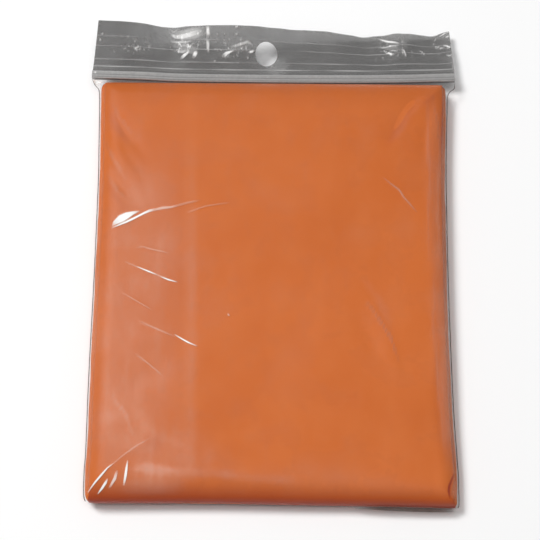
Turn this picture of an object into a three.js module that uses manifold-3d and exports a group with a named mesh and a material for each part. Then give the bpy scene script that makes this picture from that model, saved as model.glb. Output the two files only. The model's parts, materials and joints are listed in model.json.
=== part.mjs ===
// Rain poncho of thin plastic film, folded to a flat pack and shut in its clear press-to-close pouch.
// Millimetres, +Z up. X runs across the pouch, Y from its folded front edge to its lip, and Z up from
// the surface that it lies on. The group is moved at the end, so the origin is the middle of its foot.

import * as THREE from 'three';
import { mergeVertices } from 'three/addons/utils/BufferGeometryUtils.js';
import Module from 'manifold-3d';

// Walls and clearances
const wall = 1.0; // every film and panel
const seamGap = 0.3; // between the front and back film, and at the closure
const panelDepth = wall + 0.4; // how far each piece's outside lies inside the outside of the pouch
const stackDepth = panelDepth + wall + 0.5;

// Outside of the filled pouch in plan, at the height of its side seams, from the front edge to the closure
const outline = [
  { y: 0, left: -76.4, right: 76.1 },
  { y: 11, left: -76.1, right: 76.2 },
  { y: 23, left: -75.7, right: 75.7 },
  { y: 44, left: -75.8, right: 74.8 },
  { y: 103, left: -75.2, right: 74.1 },
  { y: 142, left: -75.0, right: 74.2 },
  { y: 158, left: -75.3, right: 74.5 },
  { y: 178, left: -75.8, right: 75.4 },
  { y: 185, left: -77.3, right: 77.2 },
  { y: 189, left: -79.7, right: 79.7 },
];

// How far the rounded edges reach in from the outline
const sideRadius = { left: 9.5, right: 8.5 };
const backStart = 179.5; // the top begins to fall toward the closure here
const backRadius = 8.8;
const fallAngles = [67.5, 45, 30]; // rows of the films as they fall to the closure, in degrees
const widenAngle = 45; // below this angle the films' sides begin to rise to the closure

// Front edge from left to right: where it is, and how far its rounding reaches in
const frontEdge = [
  { x: -76, y: 1.2, reach: 15.0 },
  { x: -30, y: 1.4, reach: 13.5 },
  { x: 20, y: 0.6, reach: 12.0 },
  { x: 50, y: 0.2, reach: 9.5 },
  { x: 76, y: 0.0, reach: 8.0 },
];
const cornerSquareness = { frontLeft: 4.5, frontRight: 8, back: 3.2 };

// Height of the top, and of the side seams, from front to back at three places across
const topHeight = [
  { y: 10, left: 13.9, middle: 13.6, right: 12.0 },
  { y: 60, left: 14.3, middle: 14.2, right: 13.2 },
  { y: 120, left: 14.2, middle: 14.4, right: 13.6 },
  { y: 180, left: 13.8, middle: 13.8, right: 13.4 },
];
const seamHeight = [
  { y: 0, left: 6.4, middle: 5.8, right: 4.8 },
  { y: 90, left: 7.0, middle: 7.0, right: 6.4 },
  { y: 180, left: 7.6, middle: 7.4, right: 7.0 },
];
const heightHalfSpan = 66; // the left and right columns stand this far from the middle

// Closure: a rib strip pressed into a grooved strip, between the two films
const closure = [
  { x: -79.8, y: 191.8, z: 10.2 },
  { x: -60, y: 191.6, z: 9.4 },
  { x: -40, y: 191.1, z: 8.6 },
  { x: 0, y: 191.1, z: 8.0 },
  { x: 30, y: 191.3, z: 7.7 },
  { x: 55, y: 191.8, z: 7.4 },
  { x: 79.8, y: 192.8, z: 7.2 },
];
const closureHalfWidth = 1.6;
const closureBand = { bevel: 0.4, grooveHalfWidth: 0.35, grooveDepth: 0.35, foot: 1.1 };
const trackThickness = 0.8;
const grooveHalfWidth = 0.7;
const grooveFloor = 0.65;
const ribHalfWidth = 0.4;
const ribTop = 0.35;
const trackEndInset = 2.2;

// Lip above the closure, and the height of its free edge as it waves from left to right
const lipHalfWidth = 79.8;
const lipReach = 23.5; // from the middle of the closure to the free edge
const lipStart = -1.9;
const filmJoint = lipStart - seamGap;
const lipNarrowing = 0.022; // the waves take up this share of the free edge's width
const lipBend = 1.2; // above 1, the lip bends more toward its free edge
const lipEdge = [
  { x: -79.8, z: 20.2 },
  { x: -72, z: 19.4 },
  { x: -65, z: 17.0 },
  { x: -58, z: 13.8 },
  { x: -51, z: 10.8 },
  { x: -46, z: 10.4 },
  { x: -39, z: 12.4 },
  { x: -30, z: 14.8 },
  { x: -20, z: 15.8 },
  { x: -10, z: 14.4 },
  { x: 0, z: 11.5 },
  { x: 10, z: 9.0 },
  { x: 20, z: 7.8 },
  { x: 28, z: 6.2 },
  { x: 35, z: 3.9 },
  { x: 42, z: 2.5 },
  { x: 49, z: 3.2 },
  { x: 56, z: 5.1 },
  { x: 61, z: 4.9 },
  { x: 67, z: 2.8 },
  { x: 72, z: 2.1 },
  { x: 76, z: 3.4 },
  { x: 79.8, z: 5.0 },
];
const gripLineShares = [0.11, 0.26, 0.52, 0.72]; // of the way from the closure to the free edge
const gripLineHalfWidth = 0.5;
const gripLineHeight = 0.35;
const innerRowShares = [0.25, 0.6]; // rows of the lip's inner side, which has no grip lines
const hangHole = { x: -3.4, reach: 11.4, halfWidth: 4.95, halfLength: 5.55, sides: 28 };

// Largest creases of the front film: soft ridges from one end to the other
const creases = [
  { name: 'left bright fold', x0: -69, y0: 117, x1: -58, y1: 127, height: 0.7, halfWidth: 3.4 },
  { name: 'left bright fold, branch', x0: -58, y0: 127, x1: -38, y1: 129, height: 0.5, halfWidth: 3.2 },
  { name: 'left long fold', x0: -62, y0: 103, x1: -40, y1: 94, height: 0.6, halfWidth: 3.4 },
  { name: 'lower left fold', x0: -56, y0: 77, x1: -30, y1: 64, height: 0.6, halfWidth: 3.4 },
  { name: 'front left pleat', x0: -72, y0: 6, x1: -58, y1: 24, height: 0.6, halfWidth: 3.2 },
  { name: 'back right fold', x0: 66, y0: 178, x1: 48, y1: 157, height: 0.8, halfWidth: 4.0 },
  { name: 'right thin fold', x0: 48, y0: 140, x1: 62, y1: 127, height: 0.5, halfWidth: 3.2 },
  { name: 'lower right fold', x0: 41, y0: 82, x1: 54, y1: 50, height: 0.6, halfWidth: 4.0 },
  { name: 'back left pleat', x0: -71, y0: 178, x1: -60, y1: 160, height: 0.5, halfWidth: 3.6 },
  { name: 'right edge pucker', x0: 66, y0: 120, x1: 64, y1: 84, height: 0.5, halfWidth: 3.4 },
];

const creaseFromEdge = 0.5; // creases stay off the outer half of the rounded edges
const creaseEndShare = 0.35; // of its full height, where a crease begins and ends

// How far each fold of the stack stands back from the next, from the middle of its edge to the top
const foldSetBack = {
  left: [0.9, 0.0, 0.8, 0.1, 0.9, 0.3],
  right: [0.8, 0.2, 0.9, 0.0, 0.8, 0.2],
  ends: [0.9, 0.1, 0.7, 0.0, 0.9, 0.2],
};

// How finely each surface is divided
const edgeSteps = 4;
const stackEdgeSteps = 6;
const filmSpans = { across: 20, along: 22 };
const panelSpans = { across: 10, along: 11 };
const lipSpans = 26;

const finish = {
  poncho: { color: 0xd2703f, roughness: 0.5, metalness: 0 },
  hidden: { color: 0xc2602f, roughness: 0.55, metalness: 0 },
  film: { color: 0xd9d6d2, roughness: 0.15, metalness: 0, transparent: true, opacity: 0.35 },
  lip: { color: 0x8c8985, roughness: 0.2, metalness: 0, transparent: true, opacity: 0.7 },
  track: { color: 0x9d9894, roughness: 0.3, metalness: 0 },
};

const degrees = Math.PI / 180;
const lerp = THREE.MathUtils.lerp;

// Value of a column at a place along a table, straight between its rows
function tableValue(table, key, at, column) {
  const last = table.length - 1;
  let row = 0;
  while (row < last - 1 && at > table[row + 1][key]) row += 1;
  const share = (at - table[row][key]) / (table[row + 1][key] - table[row][key]);
  return lerp(table[row][column], table[row + 1][column], THREE.MathUtils.clamp(share, 0, 1));
}

// Value of a table that has left, middle and right columns
function fieldValue(table, x, y) {
  const middle = tableValue(table, 'y', y, 'middle');
  const side = tableValue(table, 'y', y, x < 0 ? 'left' : 'right');
  const share = Math.min(Math.abs(x) / heightHalfSpan, 1);
  return lerp(middle, side, share * share);
}

function creaseHeight(x, y) {
  let height = 0;
  for (const crease of creases) {
    const along = new THREE.Vector2(crease.x1 - crease.x0, crease.y1 - crease.y0);
    const toPoint = new THREE.Vector2(x - crease.x0, y - crease.y0);
    const share = THREE.MathUtils.clamp(toPoint.dot(along) / along.lengthSq(), 0, 1);
    const distance = toPoint.addScaledVector(along, -share).length();
    const taper = lerp(creaseEndShare, 1, Math.sin(Math.PI * share));
    height = Math.max(height, crease.height * taper * Math.exp(-((distance / crease.halfWidth) ** 2)));
  }
  return height;
}

// Divisions of one direction: edge steps rise from 0 at the seam to 1 where the flat part begins
function divisions(steps, spans) {
  const list = [];
  for (let i = 0; i < steps; i += 1) list.push({ edge: i / steps, share: 0, end: -1 });
  for (let i = 0; i <= spans; i += 1) list.push({ edge: 1, share: i / spans, end: 0 });
  for (let i = steps - 1; i >= 0; i -= 1) list.push({ edge: i / steps, share: 1, end: 1 });
  return list;
}

// Where the flat part of the pouch begins, for a share of its width and of its length
function flatPoint(across, along) {
  const firstGuess = lerp(-1, 1, across) * heightHalfSpan;
  const front = tableValue(frontEdge, 'x', firstGuess, 'y') + tableValue(frontEdge, 'x', firstGuess, 'reach');
  const y = lerp(front, backStart, along);
  const left = tableValue(outline, 'y', y, 'left') + sideRadius.left;
  const right = tableValue(outline, 'y', y, 'right') - sideRadius.right;
  return { x: lerp(left, right, across), y, frontReach: tableValue(frontEdge, 'x', firstGuess, 'reach') };
}

function squareness(column, row) {
  if (row.end > 0) return cornerSquareness.back;
  return column.end < 0 ? cornerSquareness.frontLeft : cornerSquareness.frontRight;
}

// Point of a surface that lies depth inside the pouch's outside, on its upper or its lower half
function packPoint(column, row, depth, upper, { lift = 0, angleOf = (edge) => 90 * edge, setBack } = {}) {
  const flat = flatPoint(column.share, row.share);
  const level = Math.min(column.edge, row.edge);
  const angle = angleOf(level) * degrees;
  let turn = 0;
  if (level < 1 && column.edge <= row.edge) turn = (45 * (1 - row.edge)) / (1 - column.edge);
  if (level < 1 && column.edge > row.edge) turn = 90 - (45 * (1 - column.edge)) / (1 - row.edge);
  const power = 2 / squareness(column, row);
  const outX = Math.cos(turn * degrees) ** power;
  const outY = Math.sin(turn * degrees) ** power;
  const reachX = (column.end < 0 ? sideRadius.left : sideRadius.right) - depth;
  const reachY = (row.end < 0 ? flat.frontReach : backRadius) - depth;
  const back = setBack ? setBack(column, row, level, turn) : 0;
  const x = flat.x + column.end * outX * (reachX * Math.cos(angle) - back);
  const y = flat.y + row.end * outY * (reachY * Math.cos(angle) - back);
  const seam = fieldValue(seamHeight, flat.x, flat.y);
  const top = fieldValue(topHeight, flat.x, flat.y);
  if (upper) {
    const start = seam + lift;
    return new THREE.Vector3(x, y, start + (top - depth - start) * Math.sin(angle));
  }
  const start = seam - lift;
  return new THREE.Vector3(x, y, start - (start - depth) * Math.sin(angle));
}

// Point of a film between the pack and the closure, where its section flattens from a pillow to a sheet
function taperPoint(column, fallAngle, depth, upper) {
  const flat = flatPoint(column.share, 1);
  const y = flat.y + (backRadius - depth) * Math.cos(fallAngle * degrees);
  const edgeX = tableValue(outline, 'y', y, column.end < 0 ? 'left' : 'right');
  const reach = Math.abs(edgeX - flat.x) - depth;
  const x = flat.x + column.end * reach * Math.cos(90 * column.edge * degrees);
  const toClosure = Math.max(0, 1 - fallAngle / widenAngle);
  const seam = lerp(fieldValue(seamHeight, flat.x, flat.y), tableValue(closure, 'x', x, 'z'), toClosure);
  const surface = upper ? fieldValue(topHeight, flat.x, flat.y) - depth : depth;
  const start = upper ? seam + seamGap / 2 : seam - seamGap / 2;
  const rise = (surface - start) * Math.sin(fallAngle * degrees) * Math.sin(90 * column.edge * degrees);
  return new THREE.Vector3(x, y, start + rise);
}

// Last row of a body film, beside the closure
function jointPoint(column, offset) {
  const flat = flatPoint(column.share, 1);
  const reach = lipHalfWidth - Math.abs(flat.x);
  const x = flat.x + column.end * reach * Math.cos(90 * column.edge * degrees);
  return new THREE.Vector3(
    x,
    tableValue(closure, 'x', x, 'y') + filmJoint,
    tableValue(closure, 'x', x, 'z') + offset,
  );
}

// Point of the lip: reach is counted from the middle of the closure, offset along the film's normal
function lipPoint(x, reach, offset) {
  const foot = { y: tableValue(closure, 'x', x, 'y'), z: tableValue(closure, 'x', x, 'z') };
  const lift = tableValue(lipEdge, 'x', x, 'z') - foot.z;
  const lean = Math.sqrt(lipReach ** 2 - lift ** 2) / lipReach;
  const share = Math.max(0, (reach - closureHalfWidth) / (lipReach - closureHalfWidth));
  const slope = (lift * lipBend * share ** (lipBend - 1)) / (lipReach - closureHalfWidth);
  const normal = new THREE.Vector2(-slope, lean).normalize();
  return new THREE.Vector3(
    x * (1 - (lipNarrowing * Math.max(0, reach)) / lipReach),
    foot.y + reach * (reach > 0 ? lean : 1) + normal.x * offset,
    foot.z + lift * share ** lipBend + normal.y * offset,
  );
}

// Closed solid from a list of triangles' corners
function solidGeometry(corners) {
  const geometry = new THREE.BufferGeometry();
  geometry.setAttribute('position', new THREE.Float32BufferAttribute(corners.flatMap((p) => p.toArray()), 3));
  const merged = mergeVertices(geometry, 1e-4);
  const index = [];
  const old = merged.index.array;
  for (let i = 0; i < old.length; i += 3) {
    const [a, b, c] = [old[i], old[i + 1], old[i + 2]];
    if (a !== b && b !== c && c !== a) index.push(a, b, c);
  }
  merged.setIndex(index);
  return merged;
}

// Two triangles on the diagonal from a to c, which neighbouring walls share so that they stay parallel
function addQuad(corners, a, b, c, d, turned = false) {
  if (turned) corners.push(a, c, b, a, d, c);
  else corners.push(a, b, c, a, c, d);
}

// One face of a sheet. Its rows run forward and its columns to the right, seen from outside
function addFace(corners, rows, inward) {
  for (let j = 0; j + 1 < rows.length; j += 1) {
    for (let i = 0; i + 1 < rows[j].length; i += 1) {
      addQuad(corners, rows[j][i], rows[j][i + 1], rows[j + 1][i + 1], rows[j + 1][i], inward);
    }
  }
}

function borderOf(rows) {
  const last = rows.length - 1;
  return [
    ...rows[0].slice(0, -1),
    ...rows.slice(0, -1).map((row) => row[row.length - 1]),
    ...rows[last].slice(1).reverse(),
    ...rows.slice(1).reverse().map((row) => row[0]),
  ];
}

// Wall between an outer and an inner face with the same rows and columns
function wallGeometry(outer, inner) {
  const corners = [];
  addFace(corners, outer, false);
  addFace(corners, inner, true);
  const outerBorder = borderOf(outer);
  const innerBorder = borderOf(inner);
  outerBorder.forEach((point, i) => {
    const next = (i + 1) % outerBorder.length;
    addQuad(corners, innerBorder[i], innerBorder[next], outerBorder[next], point);
  });
  return solidGeometry(corners);
}

// Solid through closed sections. They run anticlockwise seen from +X, or clockwise if turned
function sectionGeometry(sections, flatSection, turned) {
  const corners = [];
  for (let i = 0; i + 1 < sections.length; i += 1) {
    const [near, far] = [sections[i], sections[i + 1]];
    near.forEach((point, k) => {
      const next = (k + 1) % near.length;
      addQuad(corners, point, near[next], far[next], far[k], turned);
    });
  }
  const ends = [sections[0], sections[sections.length - 1]];
  if (turned) ends.reverse();
  for (const [a, b, c] of THREE.ShapeUtils.triangulateShape(flatSection, [])) {
    corners.push(ends[0][c], ends[0][b], ends[0][a]);
    corners.push(ends[1][a], ends[1][b], ends[1][c]);
  }
  return solidGeometry(corners);
}

// Folded stack: the hidden layers as one solid, with the folds' edges in steps round it
function stackGeometry() {
  const columns = divisions(stackEdgeSteps, panelSpans.across);
  const rows = divisions(stackEdgeSteps, panelSpans.along);
  const angleOf = (edge) => Math.asin(edge) / degrees;
  const setBack = (column, row, level, turn) => {
    if (level >= 1) return 0;
    const step = Math.round(level * stackEdgeSteps);
    const side = column.end < 0 ? foldSetBack.left : foldSetBack.right;
    return lerp(side[step], foldSetBack.ends[step], turn / 90);
  };
  const face = (upper) => rows.map((row) => columns.map((column) => (
    packPoint(column, row, stackDepth, upper, { angleOf, setBack }))));
  const corners = [];
  addFace(corners, face(true), false);
  addFace(corners, face(false), true);
  return solidGeometry(corners);
}

// Outer panel: it lies on the stack, turns round the front edge and runs back under it
function panelGeometry() {
  const columns = divisions(edgeSteps, panelSpans.across).slice(1, -1);
  const rows = divisions(edgeSteps, panelSpans.along).slice(0, -1);
  const face = (depth) => [
    ...rows.slice(1).reverse().map((row) => columns.map((column) => packPoint(column, row, depth, false))),
    ...rows.map((row) => columns.map((column) => packPoint(column, row, depth, true))),
  ];
  return wallGeometry(face(panelDepth), face(panelDepth + wall));
}

// Face of a body film, from the front seam over the pack and down to the closure
function filmFace(spans, depth, upper, creased) {
  const columns = divisions(edgeSteps, spans.across);
  const rows = divisions(edgeSteps, spans.along).filter((row) => row.end <= 0);
  const sign = upper ? 1 : -1;
  const raise = (point) => {
    if (creased) point.z += creaseHeight(point.x, point.y);
    return point;
  };
  return [
    ...rows.map((row) => columns.map((column) => {
      const point = packPoint(column, row, depth, upper, { lift: seamGap / 2 });
      return Math.min(column.edge, row.edge) < creaseFromEdge ? point : raise(point);
    })),
    ...fallAngles.map((angle) => columns.map((column) => taperPoint(column, angle, depth, upper))),
    columns.map((column) => jointPoint(column, sign * (seamGap / 2 + wall - depth))),
  ];
}

function frontFilmGeometry() {
  return wallGeometry(filmFace(filmSpans, 0, true, true), filmFace(filmSpans, wall, true, true));
}

function backFilmGeometry() {
  return wallGeometry(filmFace(panelSpans, wall, false, false), filmFace(panelSpans, 0, false, false));
}

// Section of a lip film, as reach along the lip and height from its middle plane
function lipSection() {
  const inner = seamGap / 2;
  const outer = inner + wall;
  const overTrack = trackThickness + seamGap;
  const { bevel, foot } = closureBand;
  const section = [
    [lipReach, inner],
    [lipReach, outer],
  ];
  for (const share of [...gripLineShares].reverse()) {
    const middle = lerp(closureHalfWidth, lipReach, share);
    section.push([middle + gripLineHalfWidth, outer]);
    section.push([middle, outer + gripLineHeight]);
    section.push([middle - gripLineHalfWidth, outer]);
  }
  section.push(
    [closureHalfWidth + bevel, outer + overTrack - bevel],
    [closureHalfWidth - bevel, outer + overTrack],
    [closureBand.grooveHalfWidth, outer + overTrack],
    [0, outer + overTrack - closureBand.grooveDepth],
    [-closureBand.grooveHalfWidth, outer + overTrack],
    [lipStart + bevel, outer + overTrack],
    [lipStart, outer + overTrack - bevel],
    [lipStart, inner + overTrack],
    [closureHalfWidth + seamGap, inner + overTrack],
    [closureHalfWidth + foot, inner],
  );
  for (const share of innerRowShares) section.push([lerp(closureHalfWidth, lipReach, share), inner]);
  return section;
}

const grooveSection = [
  [closureHalfWidth, seamGap / 2],
  [closureHalfWidth, seamGap / 2 + trackThickness],
  [-closureHalfWidth, seamGap / 2 + trackThickness],
  [-closureHalfWidth, seamGap / 2],
  [-grooveHalfWidth, seamGap / 2],
  [-grooveHalfWidth, grooveFloor],
  [grooveHalfWidth, grooveFloor],
  [grooveHalfWidth, seamGap / 2],
];

const ribSection = [
  [closureHalfWidth, -seamGap / 2 - trackThickness],
  [closureHalfWidth, -seamGap / 2],
  [ribHalfWidth, -seamGap / 2],
  [ribHalfWidth, ribTop],
  [-ribHalfWidth, ribTop],
  [-ribHalfWidth, -seamGap / 2],
  [-closureHalfWidth, -seamGap / 2],
  [-closureHalfWidth, -seamGap / 2 - trackThickness],
];

// Strip along the lip, from one side to the other, with the same section all the way, or its mirror
// image in the lip's middle plane
function stripGeometry(section, halfWidth, mirrored = false) {
  const flatSection = section.map(([reach, height]) => new THREE.Vector2(reach, height));
  const sections = [];
  for (let i = 0; i <= lipSpans; i += 1) {
    const x = lerp(-halfWidth, halfWidth, i / lipSpans);
    sections.push(section.map(([reach, height]) => lipPoint(x, reach, mirrored ? -height : height)));
  }
  return sectionGeometry(sections, flatSection, mirrored);
}

const wasm = await Module();
wasm.setup();

function toManifold(geometry) {
  const merged = mergeVertices(geometry, 1e-4);
  return new wasm.Manifold(new wasm.Mesh({
    numProp: 3,
    vertProperties: new Float32Array(merged.getAttribute('position').array),
    triVerts: new Uint32Array(merged.index.array),
  }));
}

function fromManifold(solid) {
  const mesh = solid.getMesh();
  const geometry = new THREE.BufferGeometry();
  geometry.setAttribute('position', new THREE.BufferAttribute(new Float32Array(mesh.vertProperties), 3));
  geometry.setIndex(new THREE.BufferAttribute(new Uint32Array(mesh.triVerts), 1));
  return geometry;
}

// Upright oval cutter for the hang hole, longer than the lip is thick
function withHangHole(geometry) {
  const middle = lipPoint(hangHole.x, hangHole.reach, 0);
  const oval = new THREE.Shape();
  oval.absellipse(middle.x, middle.y, hangHole.halfWidth, hangHole.halfLength, 0, 2 * Math.PI, false, 0);
  const cutter = new THREE.ExtrudeGeometry(oval, {
    depth: 2 * lipReach,
    bevelEnabled: false,
    curveSegments: hangHole.sides,
  });
  cutter.translate(0, 0, middle.z - lipReach);
  cutter.deleteAttribute('normal');
  cutter.deleteAttribute('uv');
  return fromManifold(toManifold(geometry).subtract(toManifold(cutter)));
}

const group = new THREE.Group();

function addPiece(name, geometry, look) {
  geometry.computeVertexNormals();
  const mesh = new THREE.Mesh(geometry, new THREE.MeshStandardMaterial(look));
  mesh.name = name;
  group.add(mesh);
  return mesh;
}

addPiece('poncho_folded_layers', stackGeometry(), finish.hidden);
addPiece('poncho_outer_panel', panelGeometry(), finish.poncho);
addPiece('pouch_back_film', backFilmGeometry(), finish.film);
addPiece('pouch_front_film', frontFilmGeometry(), finish.film);
addPiece('lip_front_film', withHangHole(stripGeometry(lipSection(), lipHalfWidth)), finish.lip);
addPiece('lip_back_film', withHangHole(stripGeometry(lipSection(), lipHalfWidth, true)), finish.lip);
addPiece('zip_groove', stripGeometry(grooveSection, lipHalfWidth - trackEndInset), finish.track);
addPiece('zip_rib', stripGeometry(ribSection, lipHalfWidth - trackEndInset), finish.track);

const bounds = new THREE.Box3().setFromObject(group);
const centre = bounds.getCenter(new THREE.Vector3());
group.position.set(-centre.x, -centre.y, -bounds.min.z);

export default group;
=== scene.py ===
import json
import math

import bmesh
import bpy
import numpy as np
from mathutils import Matrix, Vector

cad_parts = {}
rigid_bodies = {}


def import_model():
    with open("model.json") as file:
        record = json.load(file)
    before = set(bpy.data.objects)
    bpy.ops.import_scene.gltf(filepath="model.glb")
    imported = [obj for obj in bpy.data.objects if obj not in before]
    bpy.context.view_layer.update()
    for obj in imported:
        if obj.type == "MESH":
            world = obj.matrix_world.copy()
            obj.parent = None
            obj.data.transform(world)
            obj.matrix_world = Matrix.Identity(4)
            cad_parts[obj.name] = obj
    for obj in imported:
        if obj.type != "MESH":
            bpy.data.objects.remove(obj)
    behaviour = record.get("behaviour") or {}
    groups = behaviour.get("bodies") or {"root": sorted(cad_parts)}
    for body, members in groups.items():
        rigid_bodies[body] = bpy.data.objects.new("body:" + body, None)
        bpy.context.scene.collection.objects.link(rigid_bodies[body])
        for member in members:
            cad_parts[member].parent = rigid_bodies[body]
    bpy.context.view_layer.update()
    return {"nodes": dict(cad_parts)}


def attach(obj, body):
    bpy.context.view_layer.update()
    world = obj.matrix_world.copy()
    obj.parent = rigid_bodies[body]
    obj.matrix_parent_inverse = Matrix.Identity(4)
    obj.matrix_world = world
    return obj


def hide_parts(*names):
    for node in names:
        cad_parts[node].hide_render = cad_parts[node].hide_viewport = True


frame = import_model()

# A folded rain poncho in its clear zip pouch. Tables are in millimetres: x across, y from the folded
# front edge to the lip, z up. toMetres moves a finished mesh to the part's frame.
millimetre = 0.001
frontToMiddle = 108.206  # the part's origin lies this far behind the front edge
mergeWithin = 0.000002  # metres
finStep = 0.02  # each step out over the welded edge counts this far below 0 as an edge value

pack = {
    # y, then the left and right side seam of the filled pouch
    "outline": [(0, -77.0, 76.6), (11, -76.8, 76.7), (23, -76.3, 76.2), (44, -76.3, 75.3),
                (103, -75.6, 74.5), (142, -75.4, 74.7), (158, -75.7, 75.1), (178, -76.1, 76.0),
                (183, -76.3, 76.2), (185.6, -76.8, 77.2), (187.2, -78.2, 79.2), (189, -79.7, 79.8)],
    "leftRadius": 9.5,
    "rightRadius": 8.5,
    # x, where the front edge is, and how far its rounding reaches in
    "frontEdge": [(-76, 0.1, 15.0), (-30, 0.5, 13.5), (20, 0.0, 12.0), (50, -0.2, 9.5), (76, -0.7, 8.0)],
    "backStart": 180.1,
    "backRadius": 8.8,
    "cornerFrontLeft": 7.0,
    "cornerFrontRight": 10.0,
    "cornerBack": 7.5,
    # y, then the height at the left, in the middle and at the right
    "topHeight": [(10, 13.9, 13.6, 12.0), (60, 14.3, 14.2, 13.2), (120, 14.2, 14.4, 13.6),
                  (180, 13.8, 13.8, 13.4)],
    "seamHeight": [(0, 6.4, 5.8, 4.8), (90, 7.0, 7.0, 6.4), (180, 7.6, 7.4, 7.0)],
    "halfSpan": 66.0,
}

closure = {
    # x, y and z of the middle of the press-to-close strip
    "line": [(-79.8, 191.8, 10.2), (-60, 191.6, 9.4), (-40, 191.1, 8.6), (0, 191.1, 8.0), (30, 191.3, 7.7),
             (55, 191.8, 7.4), (79.8, 192.8, 7.2)],
    "halfWidth": 79.8,
    "start": -2.3,  # the lip's films begin this far in front of the middle of the strip
    "bandEnd": 1.6,
}


def toMetres(points):
    moved = np.asarray(points, float).reshape(-1, 3) - (0.0, frontToMiddle, 0.0)
    return moved * millimetre


def toMillimetres(mesh):
    places = np.empty(len(mesh.vertices) * 3)
    mesh.vertices.foreach_get("co", places)
    return places.reshape(-1, 3) / millimetre + (0.0, frontToMiddle, 0.0)


def tableCurve(table, at, column):
    # Smooth curve through the rows of a table, which never swings past them
    rows = np.array(table, float)
    xs, ys = rows[:, 0], rows[:, column]
    slope = np.diff(ys) / np.diff(xs)
    tangent = np.zeros_like(ys)
    before, after = slope[:-1], slope[1:]
    turning = before * after <= 0
    total = np.where(turning, 1.0, before + after)
    tangent[1:-1] = np.where(turning, 0.0, 2 * before * after / total)
    tangent[0], tangent[-1] = slope[0], slope[-1]
    at = np.clip(at, xs[0], xs[-1])
    i = np.clip(np.searchsorted(xs, at) - 1, 0, len(xs) - 2)
    span = xs[i + 1] - xs[i]
    t = (at - xs[i]) / span
    start = ys[i] * (1 + 2 * t) * (1 - t) ** 2 + tangent[i] * span * t * (1 - t) ** 2
    end = ys[i + 1] * t * t * (3 - 2 * t) + tangent[i + 1] * span * t * t * (t - 1)
    return start + end


def heightField(table, x, y):
    middle = tableCurve(table, y, 2)
    side = np.where(x < 0, tableCurve(table, y, 1), tableCurve(table, y, 3))
    share = np.minimum(np.abs(x) / pack["halfSpan"], 1)
    return middle + (side - middle) * share * share


def waves(x, y, size, seed, count=7):
    # Soft unevenness between about -1 and 1, with features of the given size
    source = np.random.default_rng(seed)
    total = np.zeros(np.broadcast(x, y).shape)
    for _ in range(count):
        turn = source.uniform(0, 2 * math.pi)
        phase = source.uniform(0, 6.3)
        stretch = source.uniform(0.6, 1.6)
        along = x * math.cos(turn) + y * math.sin(turn)
        total += np.sin(along * 2 * math.pi * stretch / size + phase)
    return total / math.sqrt(count)


def smoothStep(low, high, value):
    t = np.clip((value - low) / (high - low), 0, 1)
    return t * t * (3 - 2 * t)


def divisions(steps, shares, finSteps=0, first=0.0):
    # Divisions of one direction. edge is 0 at the seam, 1 where the flat part begins, and below 0 on the
    # welded fin outside the seam
    rise = np.linspace(first, 1, steps + 1)[:-1]
    fin = -np.arange(finSteps, 0, -1) * finStep
    edge = np.concatenate([fin, rise, np.ones(len(shares)), rise[::-1], fin[::-1]])
    side = len(fin) + len(rise)
    share = np.concatenate([np.zeros(side), shares, np.ones(side)])
    end = np.concatenate([-np.ones(side), np.zeros(len(shares)), np.ones(side)])
    return {"edge": edge, "share": share, "end": end, "fin": max(finSteps, 1) * finStep}


def crowdedShares(count, crowds):
    # Shares from 0 to 1 that stand closer together where a crowd (from, to, times closer) says so
    fine = np.linspace(0, 1, 2001)
    density = np.ones_like(fine)
    fade = 0.03
    for low, high, times in crowds:
        rising = smoothStep(low - fade, low, fine)
        falling = 1 - smoothStep(high, high + fade, fine)
        density += (times - 1) * rising * falling
    total = np.concatenate([[0], np.cumsum((density[1:] + density[:-1]) / 2)])
    return np.interp(np.linspace(0, total[-1], count + 1), total, fine)


def flatPart(columns, rows):
    across, along = columns["share"][None, :], rows["share"][:, None]
    guess = (across * 2 - 1) * pack["halfSpan"]
    reach = tableCurve(pack["frontEdge"], guess, 2)
    front = tableCurve(pack["frontEdge"], guess, 1) + reach
    y = front + (pack["backStart"] - front) * along
    left = tableCurve(pack["outline"], y, 1) + pack["leftRadius"]
    right = tableCurve(pack["outline"], y, 2) - pack["rightRadius"]
    return left + (right - left) * across, y, reach + np.zeros_like(y)


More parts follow.
